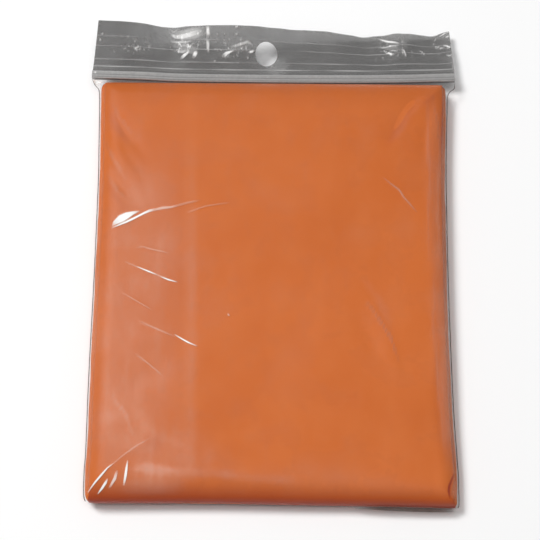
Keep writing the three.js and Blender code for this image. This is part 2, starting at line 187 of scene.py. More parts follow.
def packSurface(columns, rows, depth, upper, lift=0.0, fin=0.0, frontFin=None, linear=True, setBack=None):
    # Surface that lies depth inside the outside of the filled pouch, on its upper or lower half. fin is
    # how far the welded edge stands out, and frontFin the same along the front
    x, y, frontReach = flatPart(columns, rows)
    columnEdge, rowEdge = columns["edge"][None, :], rows["edge"][:, None]
    columnEnd, rowEnd = columns["end"][None, :], rows["end"][:, None]
    level = np.minimum(columnEdge, rowEdge)
    inside = np.maximum(level, 0)
    angle = inside * math.pi / 2 if linear else np.arcsin(inside)
    byColumn = 45 * (1 - rowEdge) / np.maximum(1 - columnEdge, 1e-9)
    byRow = 90 - 45 * (1 - columnEdge) / np.maximum(1 - rowEdge, 1e-9)
    turn = np.radians(np.where(level >= 1, 0, np.where(columnEdge <= rowEdge, byColumn, byRow)))
    squareness = np.where(rowEnd > 0, pack["cornerBack"],
                          np.where(columnEnd < 0, pack["cornerFrontLeft"], pack["cornerFrontRight"]))
    outX = np.cos(turn) ** (2 / squareness)
    outY = np.maximum(np.sin(turn), 0) ** (2 / squareness)
    reachX = np.where(columnEnd < 0, pack["leftRadius"], pack["rightRadius"]) - depth
    reachY = np.where(rowEnd < 0, frontReach, pack["backRadius"]) - depth
    if frontFin:
        loose = (tableCurve(frontFin, x, 1) - fin) * smoothStep(0.0, 0.8, columnEdge)
        fin = fin + np.where(rowEnd < 0, loose, 0)
    outward = fin * np.maximum(-level, 0) / columns["fin"]
    if setBack is not None:
        outward = outward - np.where(level < 1, setBack(x, y, inside, columnEnd, rowEnd), 0)
    placeX = x + columnEnd * outX * (reachX * np.cos(angle) + outward)
    placeY = y + rowEnd * outY * (reachY * np.cos(angle) + outward)
    seam, top = heightField(pack["seamHeight"], x, y), heightField(pack["topHeight"], x, y)
    if upper:
        z = seam + lift + (top - depth - seam - lift) * np.sin(angle)
    else:
        z = seam - lift - (seam - lift - depth) * np.sin(angle)
    return np.stack([placeX, placeY, z], -1)


creaseSpread = 2.2  # the height of a crease spreads over this many half widths
leastSpread = 0.8
markFade = (0.65, 1.3)  # its mark fades between these shares of the half width


def creaseField(x, y, creases):
    # Height and brightness from a table of creases: height, lean, brightness and their points, each
    # (x, y, half width). lean above 0 makes the side to the left of the way along it steeper
    height, bright = np.zeros_like(x), np.zeros_like(x)
    for rise, lean, shine, points in creases:
        line = np.array(points, float)
        lengths = np.hypot(*np.diff(line[:, :2], axis=0).T)
        travelled = np.concatenate([[0], np.cumsum(lengths)])
        best = np.full(x.shape, 1e9)
        side, share, width = np.zeros_like(x), np.zeros_like(x), np.ones_like(x)
        for i, length in enumerate(lengths):
            ax, ay = (line[i + 1, :2] - line[i, :2]) / length
            dx, dy = x - line[i, 0], y - line[i, 1]
            run = np.clip(dx * ax + dy * ay, 0, length)
            away = np.hypot(dx - run * ax, dy - run * ay)
            nearer = away < best
            best = np.where(nearer, away, best)
            side = np.where(nearer, np.sign(dx * -ay + dy * ax), side)
            share = np.where(nearer, (travelled[i] + run) / travelled[-1], share)
            width = np.where(nearer, line[i, 2] + (line[i + 1, 2] - line[i, 2]) * run / length, width)
        taper = np.sin(math.pi * np.clip(share, 0.02, 0.98)) ** 0.5
        wide = np.maximum(width * creaseSpread, leastSpread) * (1 - lean * side)
        height += rise * taper * np.exp(-(best / wide) ** 2)
        bright = np.maximum(bright, shine * taper * (1 - smoothStep(*markFade, best / width)))
    return height, bright


def softField(x, y, zones):
    # Sum of soft zones, each with a strength and its points
    return creaseField(x, y, [(strength, 0, 0, points) for strength, points in zones])[0]


def markField(x, y, marks):
    # Sharp marks, each with a brightness and its points
    return creaseField(x, y, [(0, 0, brightness, points) for brightness, points in marks])[1]


def makeSheet(name, grids, thickness, attributes=None, keep=None, inward=True):
    # Grid of points (rows, columns, 3) to a closed thin sheet. keep says which faces stay
    rows, columns = grids.shape[:2]
    index = np.arange(rows * columns).reshape(rows, columns)
    corners = np.stack([index[:-1, :-1], index[:-1, 1:], index[1:, 1:], index[1:, :-1]], -1)
    if not inward:
        corners = corners[..., ::-1]
    faces = corners.reshape(-1, 4)
    if keep is not None:
        faces = faces[keep.reshape(-1)]
    used = np.unique(faces)
    renumber = np.full(rows * columns, -1)
    renumber[used] = np.arange(len(used))
    mesh = bpy.data.meshes.new(name)
    mesh.from_pydata(toMetres(grids)[used].tolist(), [], renumber[faces].tolist())
    along = np.stack(np.meshgrid(np.linspace(0, 1, columns), np.linspace(0, 1, rows)), -1).reshape(-1, 2)
    layer = mesh.uv_layers.new(name="sheet")
    layer.uv.foreach_set("vector", along[faces.reshape(-1)].astype(np.float32).ravel())
    for key, values in (attributes or {}).items():
        storeValues(mesh, key, np.asarray(values).reshape(-1)[used])
    mesh.polygons.foreach_set("use_smooth", [True] * len(mesh.polygons))
    mesh.update()
    piece = bpy.data.objects.new(name, mesh)
    bpy.context.collection.objects.link(piece)
    if thickness:
        thicken(piece, thickness)
    return piece


def storeValues(mesh, name, values):
    stored = mesh.attributes.new(name, "FLOAT", "POINT")
    stored.data.foreach_set("value", np.asarray(values, np.float32))


def readValues(mesh, name):
    values = np.empty(len(mesh.vertices), np.float32)
    mesh.attributes[name].data.foreach_get("value", values)
    return values


def choose(piece):
    bpy.ops.object.select_all(action="DESELECT")
    piece.select_set(True)
    bpy.context.view_layer.objects.active = piece


def thicken(piece, thickness):
    choose(piece)
    wall = piece.modifiers.new("wall", "SOLIDIFY")
    wall.thickness = thickness * millimetre
    wall.offset = -1
    bpy.ops.object.modifier_apply(modifier=wall.name)


def refineMarks(piece, lines, finest, passes=4):
    # Smaller faces, with edges down to finest, along lines that are thinner than the grid
    widened = [(1, [(x, y, half * 1.3 + 0.5) for x, y, half in points]) for points in lines]
    work = bmesh.new()
    work.from_mesh(piece.data)
    for _ in range(passes):
        work.faces.ensure_lookup_table()
        work.edges.ensure_lookup_table()
        work.edges.index_update()
        centres = np.array([face.calc_center_median() for face in work.faces]) / millimetre
        near = markField(centres[:, 0], centres[:, 1] + frontToMiddle, widened)
        chosen = sorted({edge.index for i in np.flatnonzero(near > 0.02) for edge in work.faces[i].edges
                         if edge.calc_length() > finest * millimetre})
        if not chosen:
            break
        bmesh.ops.subdivide_edges(work, edges=[work.edges[i] for i in chosen], cuts=1, use_grid_fill=True)
        bmesh.ops.triangulate(work, faces=[face for face in work.faces if len(face.verts) > 4])
    bmesh.ops.remove_doubles(work, verts=work.verts, dist=mergeWithin)
    cleanSlivers(work)
    work.to_mesh(piece.data)
    work.free()


def cleanSlivers(work):
    nearlyStraight = 2.8  # radians
    for _ in range(2):
        bmesh.ops.dissolve_degenerate(work, dist=mergeWithin, edges=work.edges)
        # A face with a straight corner would be cut into a sliver along it
        straight = [face for face in work.faces if len(face.verts) > 3
                    and max(corner.calc_angle() for corner in face.loops) > nearlyStraight]
        bmesh.ops.triangulate(work, faces=straight)
    # Two slivers with the same corners lie back to back
    sameCorners = {}
    for face in work.faces:
        sameCorners.setdefault(frozenset(face.verts), []).append(face)
    twins = [face for faces in sameCorners.values() if len(faces) > 1 for face in faces]
    bmesh.ops.delete(work, geom=twins, context="FACES")


# Shader maths
class ShaderValue:
    # One output socket of a material's nodes. The usual operators add Math nodes
    def __init__(self, finish, socket):
        self.finish = finish
        self.socket = socket

    def maths(self, operation, first, second):
        return self.finish.node("ShaderNodeMath", {"operation": operation}, {0: first, 1: second})

    def __add__(self, other):
        return self.maths("ADD", self, other)

    def __radd__(self, other):
        return self.maths("ADD", other, self)

    def __sub__(self, other):
        return self.maths("SUBTRACT", self, other)

    def __rsub__(self, other):
        return self.maths("SUBTRACT", other, self)

    def __mul__(self, other):
        return self.maths("MULTIPLY", self, other)

    def __rmul__(self, other):
        return self.maths("MULTIPLY", other, self)

    def __pow__(self, other):
        return self.maths("POWER", self, other)

    def limited(self, low=0.0, high=1.0):
        return self.maths("MINIMUM", self.maths("MAXIMUM", self, low), high)


class Finish:
    def __init__(self, name):
        self.material = bpy.data.materials.new(name)
        self.material.use_nodes = True
        self.tree = self.material.node_tree
        self.tree.nodes.clear()

    def node(self, kind, settings=None, sockets=None, output=0):
        made = self.tree.nodes.new(kind)
        for key, value in (settings or {}).items():
            setattr(made, key, value)
        for key, value in (sockets or {}).items():
            if isinstance(value, ShaderValue):
                self.tree.links.new(value.socket, made.inputs[key])
            else:
                made.inputs[key].default_value = value
        return ShaderValue(self, made.outputs[output])

    def place(self):
        return self.node("ShaderNodeTexCoord", output="Object")

    def attribute(self, name):
        return self.node("ShaderNodeAttribute", {"attribute_name": name}, output="Fac")

    def noise(self, scale, detail=3.0, roughness=0.5, stretch=None):
        where = self.place()
        if stretch:
            where = self.node("ShaderNodeMapping", sockets={"Vector": where, "Scale": stretch})
        return self.node("ShaderNodeTexNoise", sockets={
            "Vector": where, "Scale": scale, "Detail": detail, "Roughness": roughness})

    def mix(self, factor, first, second):
        return self.node("ShaderNodeMix", {"data_type": "RGBA"}, {0: factor, 6: first, 7: second}, output=2)

    def bump(self, height, strength, distance):
        return self.node("ShaderNodeBump", sockets={
            "Height": height, "Strength": strength, "Distance": distance * millimetre})

    def surface(self, shader):
        output = self.tree.nodes.new("ShaderNodeOutputMaterial")
        self.tree.links.new(shader.socket, output.inputs["Surface"])
        return self.material


def principled(finish, sockets):
    return finish.node("ShaderNodeBsdfPrincipled", sockets=sockets)


def give(piece, material):
    piece.data.materials.clear()
    piece.data.materials.append(material)


def finishPiece(piece, material, node):
    give(piece, material)
    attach(piece, "root")
    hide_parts(node)


# Camera and light
print("camera and light")
studio = {
    "target": (-1.1, -5.9, 6.0),  # millimetres, in the part's frame
    "distance": 830.0,
    "elevation": 70.0,
    "turned": 0.38,  # degrees, the picture's slight clockwise turn
    "lens": 130.0,
    "sensor": 36.0,
    "nearest": 0.01,  # metres, as the floor and the lamps' places and sizes are
    "floorSize": 6.0,
    "floorColour": (0.97, 0.97, 0.97, 1),
    "floorRoughness": 0.9,
    "floorGloss": 0.1,
    "worldColour": (1.0, 1.0, 1.0, 1),
    "worldStrength": 0.2,
    "keyFrom": (-0.45, 0.24, 0.87),
    "keyDistance": 2.2,
    "keySize": 0.8,
    "keyPower": 34.0,
    "topFrom": (0.05, -0.1, 1.0),
    "topDistance": 2.0,
    "topSize": 1.2,
    "topPower": 10.0,
    # The sheen lamps show in the gloss only: soft rings of one colour behind the left side
    "sheenFrom": (-0.36, 0.36, 0.86),
    "sheenDistance": 1.4,
    "sheenStep": 0.02,
    # Each one's size, and its brightness in watts per square metre and steradian
    "sheens": [(0.5, 0.25), (0.9, 0.3), (1.3, 0.35)],
}


def makeCamera():
    target = Vector(studio["target"]) * millimetre
    tilt = math.radians(studio["elevation"])
    outward = Vector((0, -math.cos(tilt), math.sin(tilt)))
    right = Vector((1, 0, 0))
    up = outward.cross(right)
    roll = math.radians(studio["turned"])
    turnedRight = right * math.cos(roll) + up * math.sin(roll)
    turnedUp = up * math.cos(roll) - right * math.sin(roll)
    bpy.ops.object.camera_add()
    camera = bpy.context.object
    camera.name = "camera"
    camera.data.lens = studio["lens"]
    camera.data.sensor_width = studio["sensor"]
    facing = Matrix((turnedRight, turnedUp, outward)).transposed().to_4x4()
    camera.matrix_world = Matrix.Translation(target + outward * studio["distance"] * millimetre) @ facing
    camera.data.clip_start = studio["nearest"]
    bpy.context.scene.camera = camera


def addLamp(name, direction, distance, size, power, inGloss=False):
    away = Vector(direction).normalized()
    bpy.ops.object.light_add(type="AREA", location=away * distance)
    lamp = bpy.context.object
    lamp.name = name
    lamp.rotation_euler = away.to_track_quat("Z", "Y").to_euler()
    lamp.data.energy = power
    lamp.data.shape = "DISK"
    lamp.data.size = size
    lamp.visible_glossy = inGloss
    lamp.visible_diffuse = not inGloss
    return lamp


def makeStudio():
    makeCamera()
    addLamp("key", studio["keyFrom"], studio["keyDistance"], studio["keySize"], studio["keyPower"])
    addLamp("top", studio["topFrom"], studio["topDistance"], studio["topSize"], studio["topPower"])
    for i, (size, brightness) in enumerate(studio["sheens"]):
        power = brightness * math.pi ** 2 * size ** 2 / 4
        distance = studio["sheenDistance"] + i * studio["sheenStep"]
        addLamp(f"sheen {i + 1}", studio["sheenFrom"], distance, size, power, True)
    world = bpy.data.worlds.new("soft room")
    bpy.context.scene.world = world
    world.use_nodes = True
    background = world.node_tree.nodes["Background"]
    background.inputs["Color"].default_value = studio["worldColour"]
    background.inputs["Strength"].default_value = studio["worldStrength"]
    bpy.ops.mesh.primitive_plane_add(size=studio["floorSize"], location=(0, 0, 0))
    floor = bpy.context.object
    floor.name = "floor"
    paper = Finish("white paper")
    give(floor, paper.surface(principled(paper, {
        "Base Color": studio["floorColour"], "Roughness": studio["floorRoughness"],
        "Specular IOR Level": studio["floorGloss"]})))
    scene = bpy.context.scene
    scene.view_settings.view_transform = "Standard"
    scene.view_settings.look = "None"


makeStudio()

# Folds of the poncho that show through the pouch, and which the pouch's film follows
bodyFolds = [
    # height, lean, then (x, y, half width) along the fold
    (-0.45, 0.2, [(63, 181, 1.2), (58, 172, 1.5), (54.5, 166, 1.5), (49, 157, 1.3)]),
    (0.35, 0, [(68.5, 180, 0.7), (64, 175.8, 0.8), (59.8, 172.5, 0.9), (56, 165, 1), (50.5, 158, 1)]),
    (-0.3, 0, [(71, 181, 0.7), (68.5, 174, 0.9), (66, 165, 1.1), (64.5, 152, 0.9)]),
    (0.25, 0.3, [(41, 82, 1.2), (47, 72, 1.5), (50.5, 62, 1.4), (53, 51, 1.1)]),
    (-0.25, 0, [(35, 80, 1.4), (41, 70, 1.8), (45, 59, 1.6)]),
    (-0.42, -0.2, [(-71, 180, 0.9), (-67, 170, 1.3), (-62, 160, 1.3), (-55, 151, 1)]),
    (0.36, 0, [(-73, 168, 0.7), (-69, 157, 1), (-63, 146, 1.1), (-57, 138, 0.8)]),
    (-0.34, 0, [(-72, 150, 0.8), (-67, 140, 1), (-61, 131, 0.9)]),
    (0.05, 0, [(-66, 14, 1), (-60, 19, 1.5), (-54, 24, 1.5), (-46, 28, 1.2)]),
    (-0.05, 0, [(-61, 13, 0.8), (-55, 18, 1.4), (-48, 22, 1.3), (-40, 24.5, 0.9)]),
    (-0.2, 0, [(-60, 46, 1.6), (-52, 52, 2), (-42, 60, 1.7)]),
    (0.2, 0, [(-64, 60, 1.3), (-54, 67, 1.8), (-42, 71, 1.5)]),
    (-0.18, 0, [(-10, 150, 2.4), (8, 141, 3), (26, 136, 2.2)]),
    (0.16, 0, [(-20, 100, 2.2), (-2, 94, 2.8), (20, 92, 2.1)]),
    (-0.16, 0, [(2, 52, 2.2), (18, 44, 2.6), (37, 39, 2)]),
    (0.14, 0, [(-12, 30, 2), (6, 24, 2.2), (22, 22, 1.6)]),
    (-0.3, 0, [(70, 62, 0.7), (68.5, 44, 0.9), (70, 22, 0.8)]),
    (-0.25, 0, [(71, 150, 0.6), (69.8, 128, 0.8), (70.6, 100, 0.7)]),
]

# The edge of a layer inside the pack shows as a low strip from the front to the back
layerStrip = {
    "line": [(0, -32.6, 0), (60, -33.4, 0), (120, -34.4, 0), (190, -35.6, 0)],
    "halfWidth": 3.0,
    "fade": 1.0,
    "height": 0.03,
}
unevenness = {"height": 0.05, "size": 34, "seed": 5}
foldsBegin = (0.35, 0.95)  # they rise to their height between these levels of the rounded edge


def bodyShape(x, y):
    height, _ = creaseField(x, y, [(rise, lean, 0, points) for rise, lean, points in bodyFolds])
    away = np.abs(x - tableCurve(layerStrip["line"], y, 1))
    low, high = layerStrip["halfWidth"] - layerStrip["fade"], layerStrip["halfWidth"] + layerStrip["fade"]
    strip = 1 - smoothStep(low, high, away)
    uneven = unevenness["height"] * waves(x, y, unevenness["size"], unevenness["seed"])
    return height + uneven + layerStrip["height"] * strip, strip


# Poncho: outer panel round the front of the pack, and the folded layers inside it
print("poncho")
poncho = {
    "panelDepth": 0.25,
    "panelThickness": 0.16,
    "panelFlat": (0.152, 0.385),
    "sideStart": 0.42,  # how far up the rounded sides the panel ends: 0 at the seam, 1 at the top
    "backStart": 0.12,  # the same at its back edge
    # Faces across its flat part and where they crowd (from, to, times closer), faces along it, then up
    # its rounded sides and ends
    "panelAcross": (112, [(0.0, 0.3, 1.6), (0.8, 1.0, 1.6)]),
    "panelAlong": 129,
    "panelSide": 11,
    "panelEnd": 14,
    "finestFold": 0.3,
    "stackDepth": 0.55,
    "foldsPerHalf": 6.5,
    "foldBulge": 0.5,
    "foldUneven": 0.42,
    "foldWave": 60,
    "foldRipple": (0.08, 17),  # height and length
    "foldClearance": 0.06,
    "foldPush": (0.24, 0.06),  # below the panel's edge the folds fill the pouch: how far, and its fade
    "stackGrid": (44, 64, 46),  # points across its flat part and along it, and faces up its sides
    "colour": (0.665, 0.157, 0.026, 1),
    "deepColour": (0.6, 0.13, 0.016, 1),
    "paleColour": (0.71, 0.195, 0.05, 1),
    # deep red of the painted shade in folds, along the edges and on the turned-under front, and of layers
    # lying closer
    "redShadeColour": (0.33, 0.035, 0.012, 1),
    "shadedColour": (0.5, 0.112, 0.016, 1),
    # Darker by this much, none up to the first y and full from the second
    "backShade": (0.22, 50, 175),
    "edgeShade": (0.4, 172, 184),
    # painted shade on the front, where the panel turns under
    "frontRedShade": 0.85,
    "frontBandShade": (0.14, 3.5, 9.5),  # painted shade: redder and darker again by this much, full up to the first y
    "roughness": 0.42,
    "gloss": 0.36,
    # Noises: scale, detail and roughness
    "broadNoise": (26.0, 2.0, 0.45),
    "blotchNoise": (90.0, 3.0, 0.5),
    "fineNoise": (2600.0, 2.0, 0.6),
    "wrinkleNoise": (420.0, 3.0, 0.55),
    "bump": (0.25, 0.12),  # strength and distance
}

# Deeper, redder orange in folds and along the edges, partly the colour of layers lying closer together and
# partly painted shade: depth, then (x, y, half width)
redAndShadeZones = [
    (0.7, [(75.4, 184, 0.5), (74.6, 172, 0.8), (74, 163, 0.7), (73.8, 152, 0.5)]),
    (0.5, [(74.4, 168, 0.6), (74.2, 140, 0.9), (74.2, 103, 0.9), (74.8, 60, 0.6), (75.6, 30, 0.5)]),
    (0.3, [(74.9, 13.6, 0.4), (73.2, 9.6, 0.45), (72.3, 6.4, 0.5), (72.6, 2.4, 0.4)]),
    (0.45, [(75.6, 12, 0.4), (75.8, 8, 0.5), (75.6, 5, 0.4)]),
    (0.35, [(-73, 1.2, 0.5), (-62, 0.8, 0.8), (-40, 0.8, 0.8), (-22, 1, 0.4)]),
    (0.22, [(61.4, 178, 0.8), (57.8, 172, 1.1), (54.7, 166.5, 1), (49.6, 157.8, 0.7)]),
    (0.2, [(71.5, 182, 0.4), (68.4, 179.6, 0.5), (64.6, 176.8, 0.4)]),
    (0.14, [(-50.5, 19, 1.2), (-47.8, 24, 1.6), (-45, 29, 1.2)]),
    (0.14, [(-70.5, 140, 0.6), (-66.5, 131, 0.8), (-62, 125, 0.6)]),
    (0.14, [(-72.5, 176, 0.7), (-68.5, 166, 0.9), (-63.5, 158, 0.6)]),
    (0.2, [(-76, 150, 0.5), (-76.1, 100, 0.6), (-76.6, 50, 0.6), (-77, 20, 0.5)]),
]

# Sharp folds with a deep red line in them, partly the red of the doubled layers and partly painted shade in
# the fold: depth, then (x, y, half width)
redAndShadeLines = [
    (0.95, [(75, 14.2, 0.14), (74.3, 12.2, 0.3), (73.2, 9.6, 0.42), (72.4, 7.6, 0.5), (72.1, 5.6, 0.5),
        (72.4, 3.4, 0.42), (72.8, 1.8, 0.2)]),
    (0.6, [(75.4, 12.4, 0.16), (75.7, 9.5, 0.4), (75.6, 6.5, 0.3), (75.2, 4.6, 0.14)]),
    (0.55, [(75.6, 170, 0.2), (75.1, 164, 0.45), (74.7, 156, 0.4), (74.4, 148, 0.2)]),
]


def ponchoFinish(name, grain):
    film = Finish(name)
    broad = film.noise(*poncho["broadNoise"])
    blotch = film.noise(*poncho["blotchNoise"], stretch=(1.0, 0.6, 1.0))
    strip = film.attribute("strip")
    colour = film.mix((broad * 1.6 - 0.3).limited(), poncho["deepColour"], poncho["colour"])
    colour = film.mix(((blotch - 0.42) * 0.9).limited(0.0, 0.5), colour, poncho["paleColour"])
    colour = film.mix(strip * 0.2, colour, poncho["paleColour"])
    # Painted shade: darker towards the back; redder and darker in folds, along the edges and on the
    # turned-under front
    colour = film.mix(film.attribute("shade"), colour, poncho["shadedColour"])
    colour = film.mix(film.attribute("redAndShade"), colour, poncho["redShadeColour"])
    fine = film.noise(*poncho["fineNoise"])
    rough = poncho["roughness"] + (blotch - 0.5) * 0.16 + (fine - 0.5) * 0.08
    height = fine * 0.4 + film.noise(*poncho["wrinkleNoise"]) * grain
    return film.surface(principled(film, {
        "Base Color": colour, "Roughness": rough, "Specular IOR Level": poncho["gloss"], "IOR": 1.5,
        "Normal": film.bump(height, *poncho["bump"])}))


def ponchoRedAndShade(mesh):
    # Redder and darker in folds and along the edges, partly the red of layers lying closer and partly
    # painted shade; painted shade on the turned-under front and darker towards the back
    places = toMillimetres(mesh)
    x, y = places[:, 0], places[:, 1]
    upper, turned = readValues(mesh, "upper"), readValues(mesh, "turned")
    soft, sharp = softField(x, y, redAndShadeZones), markField(x, y, redAndShadeLines)
    depth, bandFull, bandNone = poncho["frontBandShade"]
    band = depth * (1 - smoothStep(bandFull, bandNone, y)) * upper
    redAndShade = np.maximum(np.maximum(soft, sharp) * upper, turned * poncho["frontRedShade"]) + band
    storeValues(mesh, "redAndShade", np.clip(redAndShade, 0, 1))
    toBack, backNone, backFull = poncho["backShade"]
    overEdge, edgeNone, edgeFull = poncho["edgeShade"]
    shade = toBack * smoothStep(backNone, backFull, y) + overEdge * smoothStep(edgeNone, edgeFull, y)
    storeValues(mesh, "shade", shade * upper)


def ponchoPanel():
    across = crowdedShares(*poncho["panelAcross"])
    along = np.linspace(0, 1, poncho["panelAlong"] + 1)
    columns = divisions(poncho["panelSide"], across, first=poncho["sideStart"])
    rows = divisions(poncho["panelEnd"], along, first=poncho["backStart"])
    top = packSurface(columns, rows, poncho["panelDepth"], True)
    under = packSurface(columns, divisions(poncho["panelEnd"], along), poncho["panelDepth"], False)
    lift, strip = bodyShape(top[..., 0], top[..., 1])
    onTop = smoothStep(*foldsBegin, np.minimum(columns["edge"][None, :], rows["edge"][:, None]))
    top[..., 2] += lift * onTop
    # From the back edge underneath to the front seam, then over the top
    under = under[1:-1][::-1]
    below = np.zeros(under.shape[:2])
    turned = np.where(rows["end"] < 0, 1 - smoothStep(0.0, 0.85, rows["edge"]), 0)[:, None] + 0 * strip
    panel = makeSheet("poncho_panel", np.concatenate([under, top]), 0, {
        "strip": np.concatenate([below, strip * onTop]), "turned": np.concatenate([below + 1, turned]),
        "upper": np.concatenate([below, strip * 0 + 1])})
    refineMarks(panel, [points for _, points in redAndShadeLines], poncho["finestFold"])
    ponchoRedAndShade(panel.data)
    thicken(panel, poncho["panelThickness"])
    finishPiece(panel, ponchoFinish("poncho film", 0.7), "poncho_outer_panel")
    return panel


def foldSteps(x, y, level, columnEnd, rowEnd):
    # How far the fold edges stand back from the outside, at each height
    place = level * poncho["foldsPerHalf"]
    fold = np.floor(place + 0.5)
    within = np.abs(place - fold) * 2
    back = poncho["foldBulge"] * (1 - np.sqrt(np.maximum(1 - within ** 2, 0)))
    run = np.where(columnEnd != 0, y, x)
    uneven = waves(run * 0.6 + columnEnd * 37, fold * 53.0 + rowEnd * 17, poncho["foldWave"], 11)
    rippleHeight, rippleLength = poncho["foldRipple"]
    ripple = rippleHeight * waves(run, fold * 31.0 + columnEnd * 11, rippleLength, 12)
    pushOut, fade = poncho["foldPush"]
    push = pushOut * (1 - smoothStep(poncho["sideStart"] - fade, poncho["sideStart"], level))
    return back + poncho["foldUneven"] * (0.5 + 0.5 * uneven) + ripple + poncho["foldClearance"] - push


def ponchoStack():
    across, along, side = poncho["stackGrid"]
    columns = divisions(side, np.linspace(0, 1, across))
    rows = divisions(side, np.linspace(0, 1, along))
    upper = packSurface(columns, rows, poncho["stackDepth"], True, linear=False, setBack=foldSteps)
    lower = packSurface(columns, rows, poncho["stackDepth"], False, linear=False, setBack=foldSteps)
    count = upper.shape[0] * upper.shape[1]
    index = np.arange(count).reshape(upper.shape[:2])
    quads = np.stack([index[:-1, :-1], index[:-1, 1:], index[1:, 1:], index[1:, :-1]], -1).reshape(-1, 4)
    mesh = bpy.data.meshes.new("poncho_layers")
    points = np.concatenate([toMetres(upper), toMetres(lower)])
    mesh.from_pydata(points.tolist(), [], np.concatenate([quads, quads[:, ::-1] + count]).tolist())
    mesh.polygons.foreach_set("use_smooth", [True] * len(mesh.polygons))
    stack = bpy.data.objects.new("poncho_layers", mesh)
    bpy.context.collection.objects.link(stack)
    choose(stack)
    bpy.ops.object.mode_set(mode="EDIT")
    bpy.ops.mesh.select_all(action="SELECT")
    bpy.ops.mesh.remove_doubles(threshold=mergeWithin)
    bpy.ops.object.mode_set(mode="OBJECT")
    finishPiece(stack, ponchoFinish("folded poncho film", 1.0), "poncho_folded_layers")
    return stack


panel = ponchoPanel()
stack = ponchoStack()

# Pouch: two thin clear films, welded along the sides
print("pouch")
pouch = {
    "thickness": 0.1,
    "weldGap": 0.05,
    # x, and how far the welded edge stands out at the front, further out at the right where it carries
    # painted contact shadow; at the sides it stands out by fin
    "frontFin": [(-80, 0.3), (20, 0.3), (38, 0.9), (50, 1.5), (64, 1.6), (72, 1.2), (76, 0.4), (80, 0.3)],
    "fin": 0.3,
    "finSteps": 3,
    "sideSteps": 14,
    # Faces across and along the front film, and where they crowd: from, to, times closer
    "frontAcross": (134, [(0.0, 0.32, 2.0), (0.82, 1.0, 1.9)]),
    "frontAlong": (134, [(0.0, 0.06, 2.0), (0.5, 0.72, 1.8)]),
    "backGrid": (109, 119),
    # Behind the pack the film falls to the strip: angles round the back edge, then a straight run
    "fallAngles": (84, 30),
    "fallSteps": 10,
    "runAngles": [22, 15, 8, 0],
    "widenFrom": 45,
    "runEase": 0.35,
    "joint": (0.06, 0.55),  # the film ends this far before the lip, and this far from the middle plane
    "flat": (0.160, 0.192),
    "gloss": 0.02,
    "edgeGloss": 0.13,
    # dark weld edge: painted shade along the sides, painted contact shadow on the loose front weld
    "seam": (0.10, 0.07, 0.055, 1),
    "seamShadeCover": 0.34,
    "roughness": 0.27,
    # Noises: scale, detail and roughness
    "cloudNoise": (60.0, 3.0, 0.55),
    "scuffNoise": (260.0, 4.0, 0.6),
    "rippleNoise": (700.0, 3.0, 0.5),
    "bump": (0.1, 0.08),  # strength and distance
    "finestMarks": 0.13,  # marks at least this white get smaller faces, with edges down to the next two
    "finestFront": 0.25,
    "finestBack": 0.5,
    "frontClearing": (0.14, -1, 4.5),  # it clings at the front and shines less there, none from this y
    "seamShadowSpan": (26, 44, 72, 77),  # the front weld's painted contact shadow fades in and out between these x
    "pleatHalfWidth": 0.55,
    "uneven": {"height": 0.03, "size": 26, "seed": 21},
    "clear": (0.82, 0.82, 0.83, 1),
    # pinkish white of the painted sheen and the cloudy film
    "hazeAndSheen": (1.0, 0.74, 0.61, 1),
    # white of the painted glints and the stress whitening
    "white": (1.0, 0.99, 0.97, 1),
}

# Pale pinkish zones of the film, mostly painted sheen and glow and partly cloudy film: strength, then (x,
# y, half width)
frontHazeAndSheen = [
    (0.028, [(-70, 16, 2), (-69.2, 60, 2.4), (-68, 110, 2), (-67, 150, 1.4)]),
    (0.06, [(-63, 10, 5), (-60, 50, 6), (-58, 110, 5.5), (-58, 156, 4)]),
    (0.046, [(-50, 8, 6), (-48, 60, 7), (-47, 110, 6), (-47, 156, 5)]),
    (0.06, [(-60, 20, 4), (-50, 22, 6), (-36, 20, 5), (-22, 18, 3)]),
    (0.05, [(-67, 9, 1.2), (-56, 8.4, 2.4), (-44, 8.4, 2.2), (-32, 8.6, 1)]),
    (0.05, [(71.6, 92, 0.8), (72.4, 60, 1.3), (73.2, 30, 1.3), (73.8, 14, 0.8)]),
    (0.06, [(-66, 12, 1.4), (-65, 25, 2.6), (-66, 50, 1.8)]),
    (0.03, [(-66, 56, 1), (-64, 70, 2), (-63, 84, 1.2)]),
    (0.11, [(-58.5, 12.8, 0.6), (-51.4, 13.6, 0.95), (-46.1, 13.3, 0.9), (-38.8, 12.6, 0.6)]),
    (0.035, [(-35, 150, 0.5), (-34.4, 118, 0.9), (-33.6, 60, 0.9), (-32.8, 14, 0.7)]),
    (0.06, [(-48, 12.4, 0.9), (-31.4, 11.9, 0.9), (-17.8, 10.9, 0.8), (-5.3, 9.7, 0.8), (12, 8.6, 0.8)]),
    (0.025, [(-20, 12, 2), (10, 10.5, 2.2), (45, 8.5, 2), (68, 7, 1.4)]),
    (0.06, [(69.5, 182, 1.2), (70.2, 160, 1.6), (70, 120, 1.6), (70.4, 70, 1.5), (71.8, 16, 1.2)]),
    (0.014, [(68.9, 179.7, 0.5), (63.8, 175.8, 0.7), (59.8, 172.6, 0.8), (56, 166.1, 0.8),
        (50, 158.5, 0.6)]),
    (0.03, [(-64, 184, 1), (-30, 185.4, 1.4), (10, 185.4, 1.4), (60, 185, 1)]),
    (0.03, [(-71, 171, 0.7), (-66, 163, 0.9), (-61.5, 156, 0.6)]),
    (0.03, [(-62, 141, 0.6), (-58, 132, 0.9), (-55, 125, 0.6)]),
    (0.03, [(-56, 38, 0.6), (-50, 30, 1), (-42, 25, 0.8), (-33, 22, 0.5)]),
    (0.025, [(38, 96, 0.6), (46, 84, 0.9), (50, 72, 0.7)]),
]
